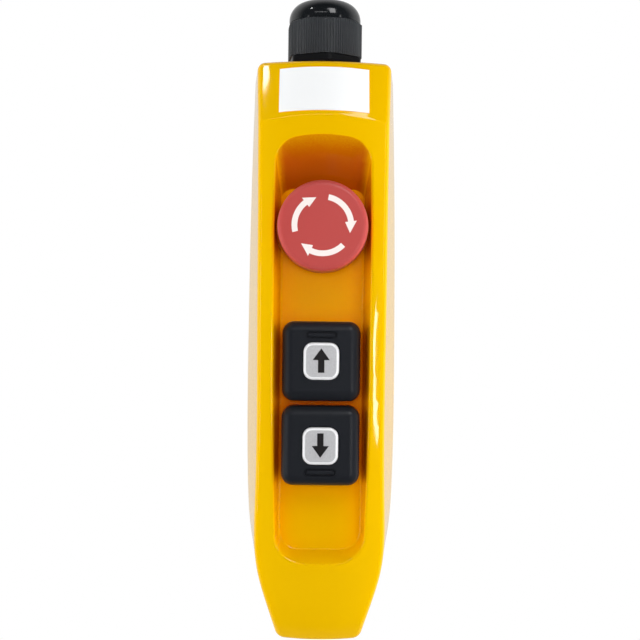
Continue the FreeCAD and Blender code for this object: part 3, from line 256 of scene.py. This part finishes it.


# %% [markdown]
# ## Moulded plastic and rubber
#
# Nearly everything here came out of a mould. A mould gives the surface a fine, even skin: polished
# for the yellow housing, slightly matt for the nylon gland. What the eye reads is how the gloss
# breaks up and how the colour drifts very slightly over a few centimetres. One recipe covers all of
# them: a fine noise drives both the bump and the roughness, and a broad noise drives the colour.
#
# The yellow housing needs one thing more: painted shade. In its thumb well, light reaches the
# surface only after bouncing off other yellow surfaces or passing through them, which takes away
# blue and green. Three tints paint this shade into the colour: orange in hollows, darker orange on
# walls in a hollow that face down, and reddish brown in the narrow gaps beside the buttons. Ambient
# occlusion tells how open a place is: 1 in the open, and near 0 in a gap.

# %% Where the housing gets its painted shade
def painted_shade_masks(tree):
    """Masks for painted shade: in a hollow, on a wall in a hollow that faces down, and in a gap."""
    openness = add(
        tree, "ShaderNodeAmbientOcclusion", {"Distance": 30 * MM}, samples=8).outputs["AO"]
    geometry = add(tree, "ShaderNodeNewGeometry")
    normal = add(tree, "ShaderNodeSeparateXYZ", {0: geometry.outputs["Normal"]})
    hollow = add(tree, "ShaderNodeMapRange", {
        "Value": openness, "From Min": 0.97, "From Max": 0.3, "To Max": 0.85})
    sheltered = add(tree, "ShaderNodeMapRange", {
        "Value": openness, "From Min": 0.98, "From Max": 0.85})
    downward = add(tree, "ShaderNodeMapRange", {
        "Value": normal.outputs["Z"], "From Min": -0.25, "From Max": -0.5})
    under = add(tree, "ShaderNodeMath", {
        0: sheltered.outputs["Result"], 1: downward.outputs["Result"]}, operation="MULTIPLY")
    narrow = add(tree, "ShaderNodeMapRange", {
        "Value": openness, "From Min": 0.38, "From Max": 0.06})
    return hollow.outputs["Result"], under.outputs["Value"], narrow.outputs["Result"]


# %% The recipe for a moulded surface
def moulded(name, colours, roughness, grain, relief, painted_shade_tints=None, **shader):
    """Grain is the size of the fine pattern in mm, and relief is its depth in mm."""
    cloud_size = 30 * MM
    material, tree = new_tree(name)
    place = add(tree, "ShaderNodeTexCoord").outputs["Object"]
    cloud = add(tree, "ShaderNodeTexNoise", {
        "Vector": place, "Scale": 1 / cloud_size, "Detail": 3})
    tint = add(tree, "ShaderNodeMix", {
        0: cloud.outputs["Fac"], COLOUR_A: linear(colours[0]), COLOUR_B: linear(colours[1])},
        data_type="RGBA")
    # The tints below paint shade and bounced light into the colour, where the masks say.
    if painted_shade_tints:
        for factor, colour in zip(painted_shade_masks(tree), painted_shade_tints):
            tint = add(tree, "ShaderNodeMix", {
                0: factor, COLOUR_A: tint.outputs[MIXED_COLOUR], COLOUR_B: linear(colour)},
                data_type="RGBA")
    skin = add(tree, "ShaderNodeTexNoise", {
        "Vector": place, "Scale": 1 / (grain * MM), "Detail": 4})
    gloss = add(tree, "ShaderNodeMapRange", {
        "Value": skin.outputs["Fac"], "To Min": roughness[0], "To Max": roughness[1]})
    bump = add(tree, "ShaderNodeBump", {
        "Height": skin.outputs["Fac"], "Strength": 1, "Distance": relief * MM})
    surface = add(tree, "ShaderNodeBsdfPrincipled", {
        "Base Color": tint.outputs[MIXED_COLOUR], "Roughness": gloss.outputs["Result"],
        "Normal": bump.outputs["Normal"], **shader})
    add(tree, "ShaderNodeOutputMaterial", {"Surface": surface.outputs["BSDF"]})
    print("Made the material", name)
    return material


# %% The moulded materials
# ABS from a polished mould: a wet shine, with the faint waves that polishing leaves. The last
# three colours are painted shade: for hollows, for walls in them that face down, and for gaps.
yellow_abs = moulded(
    "gloss_moulded_yellow_abs", ("#dcac00", "#d9a900"), (0.04, 0.08), 2.5, 0.001,
    painted_shade_tints=("#ff9700", "#b25000", "#d04400"), IOR=1.53)

# Polyamide looks waxy: its highlights are broad and soft, and its skin is finely pebbled.
red_cap = moulded(
    "satin_moulded_red_polyamide", ("#b24340", "#ac3f3c"), (0.34, 0.46), 0.4, 0.006, IOR=1.53)

# A spark-eroded mould makes the grip evenly dull. The real grain is near 0.05 mm, which is too
# fine to show, so it is drawn coarser.
black_nylon = moulded(
    "spark_textured_black_nylon", ("#2b2d30", "#303336"), (0.4, 0.55), 0.35, 0.015, IOR=1.53)

# The same nylon from a polished mould: the dome is deep black between small, sharp highlights.
gloss_nylon = moulded(
    "gloss_moulded_black_nylon", ("#131517", "#16181a"), (0.08, 0.16), 1.5, 0.003, IOR=1.53)

# The flange is a duller moulding that hardly shines, so it stays nearly black.
flange_nylon = moulded(
    "dull_moulded_black_nylon", ("#0f1012", "#131416"), (0.3, 0.4), 1, 0.003,
    **{"Specular IOR Level": 0.2})

# Rubber with a smooth skin: dark, with a wide and weak sheen along each rounded rim.
boot_rubber = moulded(
    "smooth_moulded_black_rubber", ("#191b20", "#1d1f24"), (0.3, 0.4), 0.3, 0.008,
    **{"Specular IOR Level": 0.3})

# Nitrile seals are matt and swallow the light. The gland's insert is a chalky grey.
seal_rubber = moulded(
    "matt_black_nitrile_rubber", ("#1a1a1b", "#1f1f20"), (0.6, 0.75), 0.3, 0.02)
grey_rubber = moulded(
    "matt_grey_chloroprene_rubber", ("#8d9093", "#85888b"), (0.5, 0.65), 0.4, 0.02)

# The inner parts are plain mouldings: satin black levers, and contact blocks as dull as clay.
inner_plastic = moulded(
    "moulded_black_polyamide", ("#17181a", "#1d1e20"), (0.35, 0.5), 0.5, 0.01)
thermoset = moulded("moulded_grey_thermoset", ("#9b9c9a", "#8e8f8d"), (0.4, 0.55), 0.6, 0.01)

# %% [markdown]
# ## Metals and prints
#
# The screws and the mounting plate are zinc-plated steel, and the contacts are brass. Both carry
# fine marks from rolling and tumbling, so their noise is stretched along one direction. The plates
# in the buttons are plastic with a silver paint: its flakes are metal, too small to see one by one,
# and they scatter the light into a broad soft sheen. The prints are plain ink, and the label is a
# coated film.

# %% The recipe for metals and metallic paint
def metallic(name, colours, roughness, marks, relief, metal=1.0):
    """Marks are the three lengths in mm, along X, Y and Z, of the streaks in the surface."""
    material, tree = new_tree(name)
    place = add(tree, "ShaderNodeTexCoord").outputs["Object"]
    drawn = add(tree, "ShaderNodeMapping", {
        "Vector": place, "Scale": [1 / (length * MM) for length in marks]})
    streaks = add(tree, "ShaderNodeTexNoise", {
        "Vector": drawn.outputs["Vector"], "Scale": 1, "Detail": 5})
    tint = add(tree, "ShaderNodeMix", {
        0: streaks.outputs["Fac"], COLOUR_A: linear(colours[0]), COLOUR_B: linear(colours[1])},
        data_type="RGBA")
    gloss = add(tree, "ShaderNodeMapRange", {
        "Value": streaks.outputs["Fac"], "To Min": roughness[0], "To Max": roughness[1]})
    bump = add(tree, "ShaderNodeBump", {
        "Height": streaks.outputs["Fac"], "Strength": 1, "Distance": relief * MM})
    surface = add(tree, "ShaderNodeBsdfPrincipled", {
        "Base Color": tint.outputs[MIXED_COLOUR], "Metallic": metal,
        "Roughness": gloss.outputs["Result"], "Normal": bump.outputs["Normal"]})
    add(tree, "ShaderNodeOutputMaterial", {"Surface": surface.outputs["BSDF"]})
    print("Made the material", name)
    return material


# %% The metals and prints
# Zinc plating is a cloudy grey, and brass is warm. Both smear what they mirror.
zinc_steel = metallic(
    "zinc_plated_steel", ("#b9bcbf", "#a4a7aa"), (0.28, 0.45), (0.3, 0.3, 3), 0.004)
brass = metallic("rolled_brass", ("#c9a24c", "#b78f3f"), (0.2, 0.35), (0.3, 2, 2), 0.003)

# Real flakes measure hundredths of a millimetre. They are drawn coarser, so that they show.
silver_paint = metallic(
    "silver_painted_polycarbonate", ("#b2b2b6", "#d8d8da"), (0.34, 0.46), (0.6, 0.6, 0.6), 0.004,
    0.35)

# The bevel's paint is lighter and a little smoother: a painted highlight that draws a bright line.
painted_highlight_edge = metallic(
    "silver_edge_painted_highlight", ("#e8e8ea", "#f6f6f8"), (0.25, 0.35), (0.6, 0.6, 0.6), 0.002, 0.2)

# The label's film is smooth and faintly glossy. The inks are matt and a little uneven.
white_film = moulded("white_polyester_film", ("#ecedee", "#e8eaeb"), (0.3, 0.4), 1.2, 0.002)
white_ink = moulded("white_pad_print_ink", ("#ebe1dd", "#e4dad6"), (0.4, 0.55), 0.5, 0.004)
black_ink = moulded("black_pad_print_ink", ("#171416", "#1c191b"), (0.4, 0.55), 0.5, 0.004)

# %% [markdown]
# ## Housing
#
# Two halves moulded in glossy yellow ABS meet on a parting line round the sides. Their curves were
# fixed in CAD, and the mesh that comes from CAD is exact but made of loose triangles, which shade
# as facets. Modelling such a long free curve a second time would only lose accuracy. So we copy the
# mesh, merge its corners, dissolve the flat areas into single faces, and let weighted normals shade
# the large faces flat and the small rounds smooth. That is what makes the highlights run cleanly.

# %% Trace a CAD node
def traced(node, material, body, angle=35, shape=None):
    """A copy of a CAD node with its triangles joined. Shape is a last step in edit mode."""
    piece = bpy.data.objects.new(f"{node}_smooth", nodes[node].data.copy())
    bpy.context.scene.collection.objects.link(piece)
    focus(piece)
    bpy.ops.mesh.customdata_custom_splitnormals_clear()
    start_edit(piece)
    merge_doubles()
    bpy.ops.mesh.dissolve_limited(angle_limit=math.radians(0.05))
    if shape:
        shape(piece)
    stop_edit()
    return finish(piece, material, body, (node,), angle)


# %% [markdown]
# The halves are moulded apart, so a fine groove shows where they meet. We make it by breaking the
# outer edge of each half with a small bevel. That edge lies on the parting plane, its wall faces
# away from the middle of the housing, and nothing of the same half stands in front of it. A ray
# tells the last: from an edge round a hole there is always another wall in the way.

# %% Smooth the housing
# The heart is a point in metres, in the middle of the housing.
heart = Vector((0, -0.02, -0.16))
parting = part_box("back_cover")[0].y
groove_width, clearance, steep = 0.25 * MM, 0.1 * MM, 0.3


def break_outer_edge(piece, inward):
    """Bevels the outer edge of a half. Inward is the way into the half from the parting plane."""
    walls = BVHTree.FromBMesh(bmesh.from_edit_mesh(piece.data))
    inside = Vector((0, inward * MM, 0))

    def is_outer(edge):
        if len(edge.link_faces) != 2:
            return False
        if not all(near(corner.co.y, parting) for corner in edge.verts):
            return False
        wall = min(edge.link_faces, key=lambda face: abs(face.normal.y))
        if abs(wall.normal.y) > steep or wall.normal.dot(middle(edge) - heart) < 0:
            return False
        just_outside = middle(edge) + wall.normal * clearance + inside
        return walls.ray_cast(just_outside, wall.normal)[0] is None

    print("Edges of the groove:", pick("EDGE", is_outer))
    bevel(groove_width, 2)


traced("front_shell", yellow_abs, "housing",
       shape=lambda piece: break_outer_edge(piece, -1))
traced("back_cover", yellow_abs, "housing",
       shape=lambda piece: break_outer_edge(piece, 1))

# %% [markdown]
# ## Cable gland
#
# The gland's cap has a glossy polished dome over a matt, ribbed grip, and the hexagon flange under
# it is a duller, darker nylon. The ribs are real geometry already, so the CAD mesh is traced as the
# housing was. Two materials on the cap do the rest: the faces above the grip get the second one.

# %% Smooth the gland and polish its dome
grip_height = 16.31 * MM
gland_cap = traced("gland_cap", black_nylon, "gland_nut", 25)
gland_cap.data.materials.append(gloss_nylon)
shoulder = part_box("gland_cap")[0].z + grip_height
dome = [face for face in gland_cap.data.polygons if face.center.z > shoulder]
for face in dome:
    face.material_index = 1
print("Polished faces on the dome:", len(dome))
traced("gland_body", flange_nylon, "housing")
traced("gland_insert", grey_rubber, "gland_seal")

# %% [markdown]
# ## Mushroom head
#
# The emergency stop's head is turned in shape: a broad, slightly crowned face, a soft edge and a
# hollow skirt that clears the collar behind it. It could be spun from a profile. Here it starts as
# a cylinder instead, because each step then shows what it does: bevel rounds the rim, repeated
# insets raise the crown ring by ring, and inset and extrude hollow the back and leave the hub in
# its middle.

# %% Model the mushroom head
head_low, head_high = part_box("estop_head")
stop_z = (head_low.z + head_high.z) / 2
head_radius = (head_high.x - head_low.x) / 2
crown, taper, rim_radius, rings = 0.6 * MM, 0.985, 2.6 * MM, 6
rim_y = head_low.y + crown
flat_radius = head_radius * taper - rim_radius
facing_front = (math.radians(90), 0, 0)
bpy.ops.mesh.primitive_cylinder_add(
    vertices=128, radius=head_radius, depth=head_high.y - rim_y,
    location=(0, (rim_y + head_high.y) / 2, stop_z), rotation=facing_front)
head = adopt("mushroom_head")
start_edit(head)
pick_cap(rim_y)
bpy.ops.transform.resize(value=(taper, 1, taper), center_override=(0, rim_y, stop_z))
pick_rim(rim_y)
bevel(rim_radius, 10)
pick_cap(rim_y)
for ring in range(rings - 1):
    outer, inner = 1 - ring / rings, 1 - (ring + 1) / rings
    bpy.ops.mesh.inset(thickness=flat_radius / rings)
    bpy.ops.transform.translate(value=(0, -crown * (outer ** 2 - inner ** 2), 0))
bpy.ops.mesh.poke()
stop_edit()
print("Radius of the crown in mm:", round(flat_radius / MM, 2))

# %% Hollow the back of the head
# The skirt, the hub and its bore are measured across, and the other three are depths along Y.
skirt, hub_radius, bore_radius, skirt_edge = 1.9 * MM, 7.5 * MM, 5.06 * MM, 0.4 * MM
ceiling, hub_end, bore_end = rim_y + 3.4 * MM, head_high.y - 4 * MM, rim_y + 3.1 * MM
start_edit(head)
pick_cap(head_high.y)
bpy.ops.mesh.inset(thickness=skirt)
extrude((0, ceiling - head_high.y, 0))
bpy.ops.mesh.inset(thickness=head_radius - skirt - hub_radius)
extrude((0, hub_end - ceiling, 0))
bpy.ops.mesh.inset(thickness=hub_radius - bore_radius)
extrude((0, bore_end - hub_end, 0))
pick_rim(head_high.y)
bevel(skirt_edge, 3)
stop_edit()
finish(head, red_cap, "estop_knob", ("estop_head",))

# %% [markdown]
# ## Twist arrows
#
# Three curved arrows are pad-printed round the face and show which way the head turns to release.
# Each one starts as an edge across the stroke, which Spin sweeps round the head's axis. The last
# edge is extruded in place, widened into the barbs and drawn to a point. Shrinkwrap then lays the
# flat shape on the crowned face, and Solidify gives the ink its film.

# %% Helpers for prints
def square(name, size, place):
    """A square that faces the front, from which a print is drawn."""
    bpy.ops.mesh.primitive_plane_add(size=size, location=place, rotation=facing_front)
    return adopt(name)


def ink_on(piece, wearer):
    """Lays a flat shape on the front of another piece and gives it the thickness of ink."""
    film = 0.03 * MM
    modify(piece, "SHRINKWRAP", target=wearer, wrap_method="PROJECT", use_project_y=True,
           use_project_x=False, use_project_z=False, use_positive_direction=True, offset=film)
    modify(piece, "SOLIDIFY", thickness=film, offset=0)


def turned(distance, degrees):
    """A step away from the head's axis, by its clockwise angle from the top."""
    angle = math.radians(degrees)
    return Vector((math.sin(angle) * distance, 0, math.cos(angle) * distance))


# %% Print the twist arrows
def twist_arrow(name, start, neck, tip):
    """Angles are in degrees, clockwise from the top of the face."""
    ring, stroke, barb, lead = 12.3 * MM, 2.5 * MM, 5.1 * MM, 2 * MM
    centre = Vector((0, head_low.y - lead, stop_z))
    piece = square(name, stroke, centre)
    start_edit(piece)
    pick("VERT", lambda corner: corner.co.x > 0)
    bpy.ops.mesh.delete(type="VERT")
    bpy.ops.mesh.select_all(action="SELECT")
    bpy.ops.transform.translate(value=(stroke / 2, 0, ring))
    bpy.ops.transform.rotate(
        value=-math.radians(start), orient_axis="Y", center_override=centre)
    bpy.ops.mesh.spin(
        steps=20, angle=math.radians(neck - start), center=centre, axis=(0, -1, 0))
    end = centre + turned(ring, neck)
    extrude()
    bpy.ops.transform.resize(value=(barb / stroke,) * 3, center_override=end)
    extrude(centre + turned(ring, tip) - end)
    bpy.ops.mesh.merge(type="CENTER")
    merge_doubles()
    bpy.ops.mesh.subdivide(number_cuts=2)
    stop_edit()
    ink_on(piece, head)
    finish(piece, white_ink, "estop_knob")


for number, angles in enumerate(((11, 82, 106), (134, 205, 229), (256, 322, 346)), start=1):
    twist_arrow(f"twist_arrow_{number}", *angles)

# %% [markdown]
# ## Rubber boots
#
# A moulded rubber boot covers each push button and keeps rain out. It is a soft square cushion with
# a wide radius round its face, a window for the plate, and a bar to feel for with the thumb. It
# starts as a box. Bevels round the upright corners and then the rim, and inset and extrude hollow
# it from behind. The window and the bar's groove are cut with rounded cutters, which is how a mould
# insert makes them.

# %% Rounded blocks and cutters
def rounded_block(name, low, high, corner, segments=8):
    """A box whose edges along Y are rounded, such as a plate or the insert for a window."""
    piece = block(name, low, high)
    start_edit(piece)
    pick("EDGE", lambda edge: abs(edge.verts[0].co.y - edge.verts[1].co.y) > 0.1 * MM)
    bevel(corner, segments)
    stop_edit()
    return piece


def soften_rim(piece, depth, width, segments):
    """Bevels the edges that lie at one depth, such as those round a face."""
    start_edit(piece)
    pick_rim(depth)
    bevel(width, segments)
    stop_edit()


def carve(piece, tool, operation="DIFFERENCE"):
    modify(piece, "BOOLEAN", object=tool, operation=operation, solver="EXACT")
    bpy.data.objects.remove(tool)


# %% Model the boots
def boot(side, bar_side):
    """Bar_side is 1 where the bar lies above the plate, and -1 where it lies below."""
    low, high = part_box(f"{side}_boot")
    plate_low, plate_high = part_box(f"{side}_plate")
    wall, gap, bar_rise, bar_offset = 1.5 * MM, 0.3 * MM, 0.4 * MM, 11.5 * MM
    corner_radius, rim_radius, window_radius = 5.2 * MM, 4.8 * MM, 4.6 * MM
    face_y = low.y + bar_rise
    centre_z = (low.z + high.z) / 2
    bar_z = centre_z + bar_side * bar_offset

    def slab(name, half_width, half_height, front, back, corner, segments):
        """A rounded block on the line of the bar. Its sizes are in mm, but not its two depths."""
        return rounded_block(
            name, (-half_width * MM, front, bar_z - half_height * MM),
            (half_width * MM, back, bar_z + half_height * MM), corner * MM, segments)

    piece = rounded_block(
        f"{side}_boot_rubber", (low.x, face_y, low.z), high, corner_radius, 10)
    soften_rim(piece, face_y, rim_radius, 12)
    start_edit(piece)
    pick_cap(high.y)
    bpy.ops.mesh.inset(thickness=wall)
    extrude((0, face_y + wall - high.y, 0))
    stop_edit()
    carve(piece, rounded_block(
        "window", (plate_low.x - gap, face_y - MM, plate_low.z - gap),
        (plate_high.x + gap, face_y + 2 * wall, plate_high.z + gap), window_radius))
    carve(piece, slab("groove", 7, 1.7, face_y - MM, face_y + MM, 1.6, 6))
    bar = slab("bar", 5.8, 0.75, low.y, face_y + 1.2 * MM, 0.7, 5)
    soften_rim(bar, low.y, 0.3 * MM, 3)
    carve(piece, bar, "UNION")
    finish(piece, boot_rubber, "housing", (f"{side}_boot",))
    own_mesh(piece)


boot("up", 1)
boot("down", -1)

# %% [markdown]
# ## Plates and their arrows
#
# A silver plate fills each boot's window and carries a printed arrow. The plate is a rounded block
# whose front edge is bevelled. The bevel gets a lighter, smoother paint of its own, a painted
# highlight that frames the plate with a thin light line. The arrow is one plane that is extruded
# from the shaft to the barbs and drawn to a point.

# %% Model the plates
def plate(side, low, high):
    """A silver plate between two corners. Its bevel gets the painted highlight."""
    corner_radius, edge_width, flat = 4.3 * MM, 1.3 * MM, 0.995
    piece = rounded_block(f"{side}_plate_silver", low, high, corner_radius, 10)
    soften_rim(piece, low.y, edge_width, 5)
    finish(piece, silver_paint, f"{side}_button", (f"{side}_plate",))
    # The bevel's lighter paint is a painted highlight along the plate's edge.
    piece.data.materials.append(painted_highlight_edge)
    for face in piece.data.polygons:
        if low.y < face.center.y < low.y + edge_width and abs(face.normal.y) < flat:
            face.material_index = 1
    return piece


def arrow(side, heading, wearer, y, centre_z):
    """Heading is 1 for an arrow that points up, and -1 for one that points down."""
    shaft, barb = 2.8 * MM, 7.5 * MM
    # The arrow sits 0.3 mm above the middle. The steps are in mm, from its foot to its tip.
    foot, neck, tip = [centre_z + (heading * step + 0.3) * MM for step in (-5.35, 0.2, 5.35)]
    top = foot + heading * shaft
    piece = square(f"{side}_arrow", shaft, (0, y, foot + heading * shaft / 2))
    start_edit(piece)
    pick("EDGE", lambda edge: near(middle(edge).z, top))
    extrude((0, 0, neck - top))
    extrude()
    bpy.ops.transform.resize(value=(barb / shaft, 1, 1), center_override=(0, y, neck))
    extrude((0, 0, tip - neck))
    bpy.ops.mesh.merge(type="CENTER")
    merge_doubles()
    stop_edit()
    ink_on(piece, wearer)
    finish(piece, black_ink, f"{side}_button")


for side, heading in (("up", 1), ("down", -1)):
    low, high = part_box(f"{side}_plate")
    arrow(side, heading, plate(side, low, high), low.y - MM, (low.z + high.z) / 2)

# %% [markdown]
# ## Return springs
#
# A coil spring sits in each contact block and pushes the button out again. The CAD coil is already
# the right shape, so it is traced.

# %% Trace the return springs
for side in ("up", "down"):
    low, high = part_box(f"{side}_return_spring")
    spring = traced(f"{side}_return_spring", zinc_steel, "housing")
    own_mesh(spring)

# %% [markdown]
# ## Everything else
#
# The pieces inside the housing and behind its back are right as they come from CAD. They only need
# their own materials, so that the model looks right from behind and when it is taken apart.

# %% Give the CAD nodes their materials
finishes = {
    "label_white": white_film,
    "gland_black": gloss_nylon,
    "seal_rubber": seal_rubber,
    "inner_black": inner_plastic,
    "block_grey": thermoset,
    "steel": zinc_steel,
    "brass": brass,
}
refinished = 0
for entry in frame["record"]["subparts"]:
    material = finishes.get(entry["material_slot"])
    if material:
        nodes[entry["node"]].data.materials.clear()
        nodes[entry["node"]].data.materials.append(material)
        refinished += 1
print("CAD nodes with new finishes:", refinished)

# %% [markdown]
# ## Studio
#
# The pendant hangs in a white studio that is dark behind the camera. Glossy plastic shows whatever
# it faces, so a dark front keeps the yellow deep, and only the lamps show as highlights. Two lamps
# do most of the work: a tall softbox above and to the right, which models the shape, and a small
# fill beside the camera, which reaches into the thumb well. Large fills at both sides keep the
# shadows soft. Lamps with `glossy` off light the surfaces but leave no reflection, and the narrow
# strips and windows draw the highlights along the edges. `level` is the light that a surface facing
# the lamp receives, where 1 shows a colour as it is written.

# %% A lamp that aims at the pendant
def lamp(name, azimuth, elevation, distance, width, height, level, glossy=True,
         shape="RECTANGLE", roll=0, aim=heart, shift=(0, 0)):
    """Azimuth and elevation are in degrees, from the camera's side to the right and upwards.

    Distance, width, height and shift are in metres, and roll is in degrees.
    """
    around, up = math.radians(azimuth), math.radians(elevation)
    way = Vector((math.sin(around) * math.cos(up), -math.cos(around) * math.cos(up), math.sin(up)))
    facing = (-way).to_track_quat("-Z", "Y")
    light = bpy.data.lights.new(name, "AREA")
    light.shape = shape
    light.size = width
    light.size_y = height
    # With this power, a white surface that faces the lamp looks as bright as the level says.
    light.energy = level * math.pi ** 2 * distance ** 2
    thing = bpy.data.objects.new(name, light)
    bpy.context.scene.collection.objects.link(thing)
    thing.location = aim + way * distance + facing @ Vector((*shift, 0))
    thing.rotation_euler = (facing @ Quaternion((0, 0, 1), math.radians(roll))).to_euler()
    thing.visible_glossy = glossy
    thing.visible_camera = False
    print("Lamp", name, "in W:", round(light.energy, 2))


# %% Lamps that light the surfaces
lamp("key_right", 25, 41, 0.9, 0.27, 0.42, 0.24)
lamp("softbox_above", -10, 47, 0.9, 1.2, 0.3, 0.08, glossy=False)
lamp("fill_front", 0, 4, 1.3, 0.35, 0.35, 0.33, glossy=False)
lamp("fill_left", -42, 3, 1.0, 0.5, 0.9, 0.11, glossy=False)
lamp("fill_right", 42, 3, 1.0, 0.5, 0.9, 0.13, glossy=False)
lamp("side_left", -88, 0, 0.8, 0.4, 0.7, 0.9, glossy=False)
lamp("side_right", 88, 0, 0.8, 0.4, 0.7, 1.2, glossy=False)
lamp("softbox_back", 180, 30, 1.0, 0.6, 0.6, 0.95, glossy=False)

# %% Lamps that draw the highlights
brow_left = Vector((-25.6, -20.4, -40.1)) * MM
rail_right = Vector((23.0, -30.8, -157.8)) * MM
shoulder_right = Vector((26.7, -29.9, -103.7)) * MM
lamp("window_left", -50.6, 47.8, 0.8, 0.09, 0.076, 0.05, shape="ELLIPSE", aim=brow_left,
     shift=(-0.03, 0.02))
lamp("window_centre", -14, 33, 0.8, 0.5, 0.04, 0.04)
lamp("sheen_left", -55, 0, 0.9, 0.05, 0.5, 0.03)
lamp("sheen_right", 49.3, 9.1, 0.8, 0.05, 0.25, 0.018, aim=shoulder_right)
lamp("strip_right_high", 26.5, -3, 0.75, 0.045, 0.14, 0.04, shape="ELLIPSE", roll=-8,
     aim=rail_right, shift=(0.022, 0))
lamp("strip_right_low", 26.5, -3, 0.75, 0.04, 0.16, 0.04, shape="ELLIPSE", roll=29,
     aim=rail_right, shift=(0.05, -0.11))
lamp("strip_left", -66, -8, 0.75, 0.03, 0.4, 0.04)

# %% [markdown]
# ## Floor and surroundings
#
# A matt white floor lies a quarter of a metre below the pendant and takes its soft shadow. Further
# out it should fade into a white background with no horizon. More light would do that, but it would
# bleach the pendant too. So the floor glows for the camera's own rays, more and more with the
# distance, and the surroundings do so everywhere. A strength of 1 shows as white. In reflections
# both are dark on the camera's side and bright on the far side, which keeps the housing's colour
# deep in front and lights up its rounded edges.

# %% Floor
floor_gap, mirrored_white = 0.25, 0.72
bpy.ops.mesh.primitive_plane_add(size=8, location=(0, 0, cad_box[0].z - floor_gap))
floor = bpy.context.object
floor.name = "floor"
paper, tree = new_tree("white_floor")
path = add(tree, "ShaderNodeLightPath")
place = add(tree, "ShaderNodeTexCoord").outputs["Object"]
reach = add(tree, "ShaderNodeVectorMath", {0: place}, operation="LENGTH")
far = add(tree, "ShaderNodeMapRange", {
    "Value": reach.outputs["Value"], "From Min": 0.3, "From Max": 0.6},
    interpolation_type="SMOOTHSTEP")
across = add(tree, "ShaderNodeSeparateXYZ", {0: place})
behind = add(tree, "ShaderNodeMapRange", {
    "Value": across.outputs["Y"], "From Min": -0.1, "From Max": 0.3, "To Max": mirrored_white})
matt = add(tree, "ShaderNodeBsdfDiffuse", {"Color": linear("#d4d4d2")})
glow = add(tree, "ShaderNodeEmission", {"Color": WHITE, "Strength": 1})
mirrored = add(tree, "ShaderNodeEmission", {
    "Color": WHITE, "Strength": behind.outputs["Result"]})
fade = add(tree, "ShaderNodeMath", {
    0: path.outputs["Is Camera Ray"], 1: far.outputs["Result"]}, operation="MULTIPLY")
seen = add(tree, "ShaderNodeMixShader", {
    0: fade.outputs["Value"], 1: matt.outputs["BSDF"], 2: glow.outputs["Emission"]})
both = add(tree, "ShaderNodeMixShader", {
    0: path.outputs["Is Glossy Ray"], 1: seen.outputs["Shader"],
    2: mirrored.outputs["Emission"]})
add(tree, "ShaderNodeOutputMaterial", {"Surface": both.outputs["Shader"]})
floor.data.materials.append(paper)
print("Floor at a height in mm of:", round(floor.location.z / MM, 1))

# %% Surroundings
world = bpy.data.worlds.new("studio")
bpy.context.scene.world = world
world.use_nodes = True
tree = world.node_tree
tree.nodes.clear()
path = add(tree, "ShaderNodeLightPath")
way = add(tree, "ShaderNodeTexCoord").outputs["Generated"]
direction = add(tree, "ShaderNodeSeparateXYZ", {0: way})
mirrored = add(tree, "ShaderNodeMapRange", {
    "Value": direction.outputs["Y"], "From Min": -0.2, "From Max": 0.3,
    "To Max": mirrored_white})
around = add(tree, "ShaderNodeMapRange", {
    "Value": direction.outputs["Y"], "From Min": -0.2, "From Max": 0.3, "To Min": 0.04,
    "To Max": 0.3})
ambient = add(tree, "ShaderNodeMix", {
    0: path.outputs["Is Glossy Ray"], NUMBER_A: around.outputs["Result"],
    NUMBER_B: mirrored.outputs["Result"]}, data_type="FLOAT")
strength = add(tree, "ShaderNodeMix", {
    0: path.outputs["Is Camera Ray"], NUMBER_A: ambient.outputs[MIXED_NUMBER],
    NUMBER_B: 1.0}, data_type="FLOAT")
background = add(tree, "ShaderNodeBackground", {
    "Color": WHITE, "Strength": strength.outputs[MIXED_NUMBER]})
add(tree, "ShaderNodeOutputWorld", {"Surface": background.outputs["Background"]})
bpy.context.scene.view_settings.view_transform = "Standard"
print("Nodes in the surroundings:", len(tree.nodes))
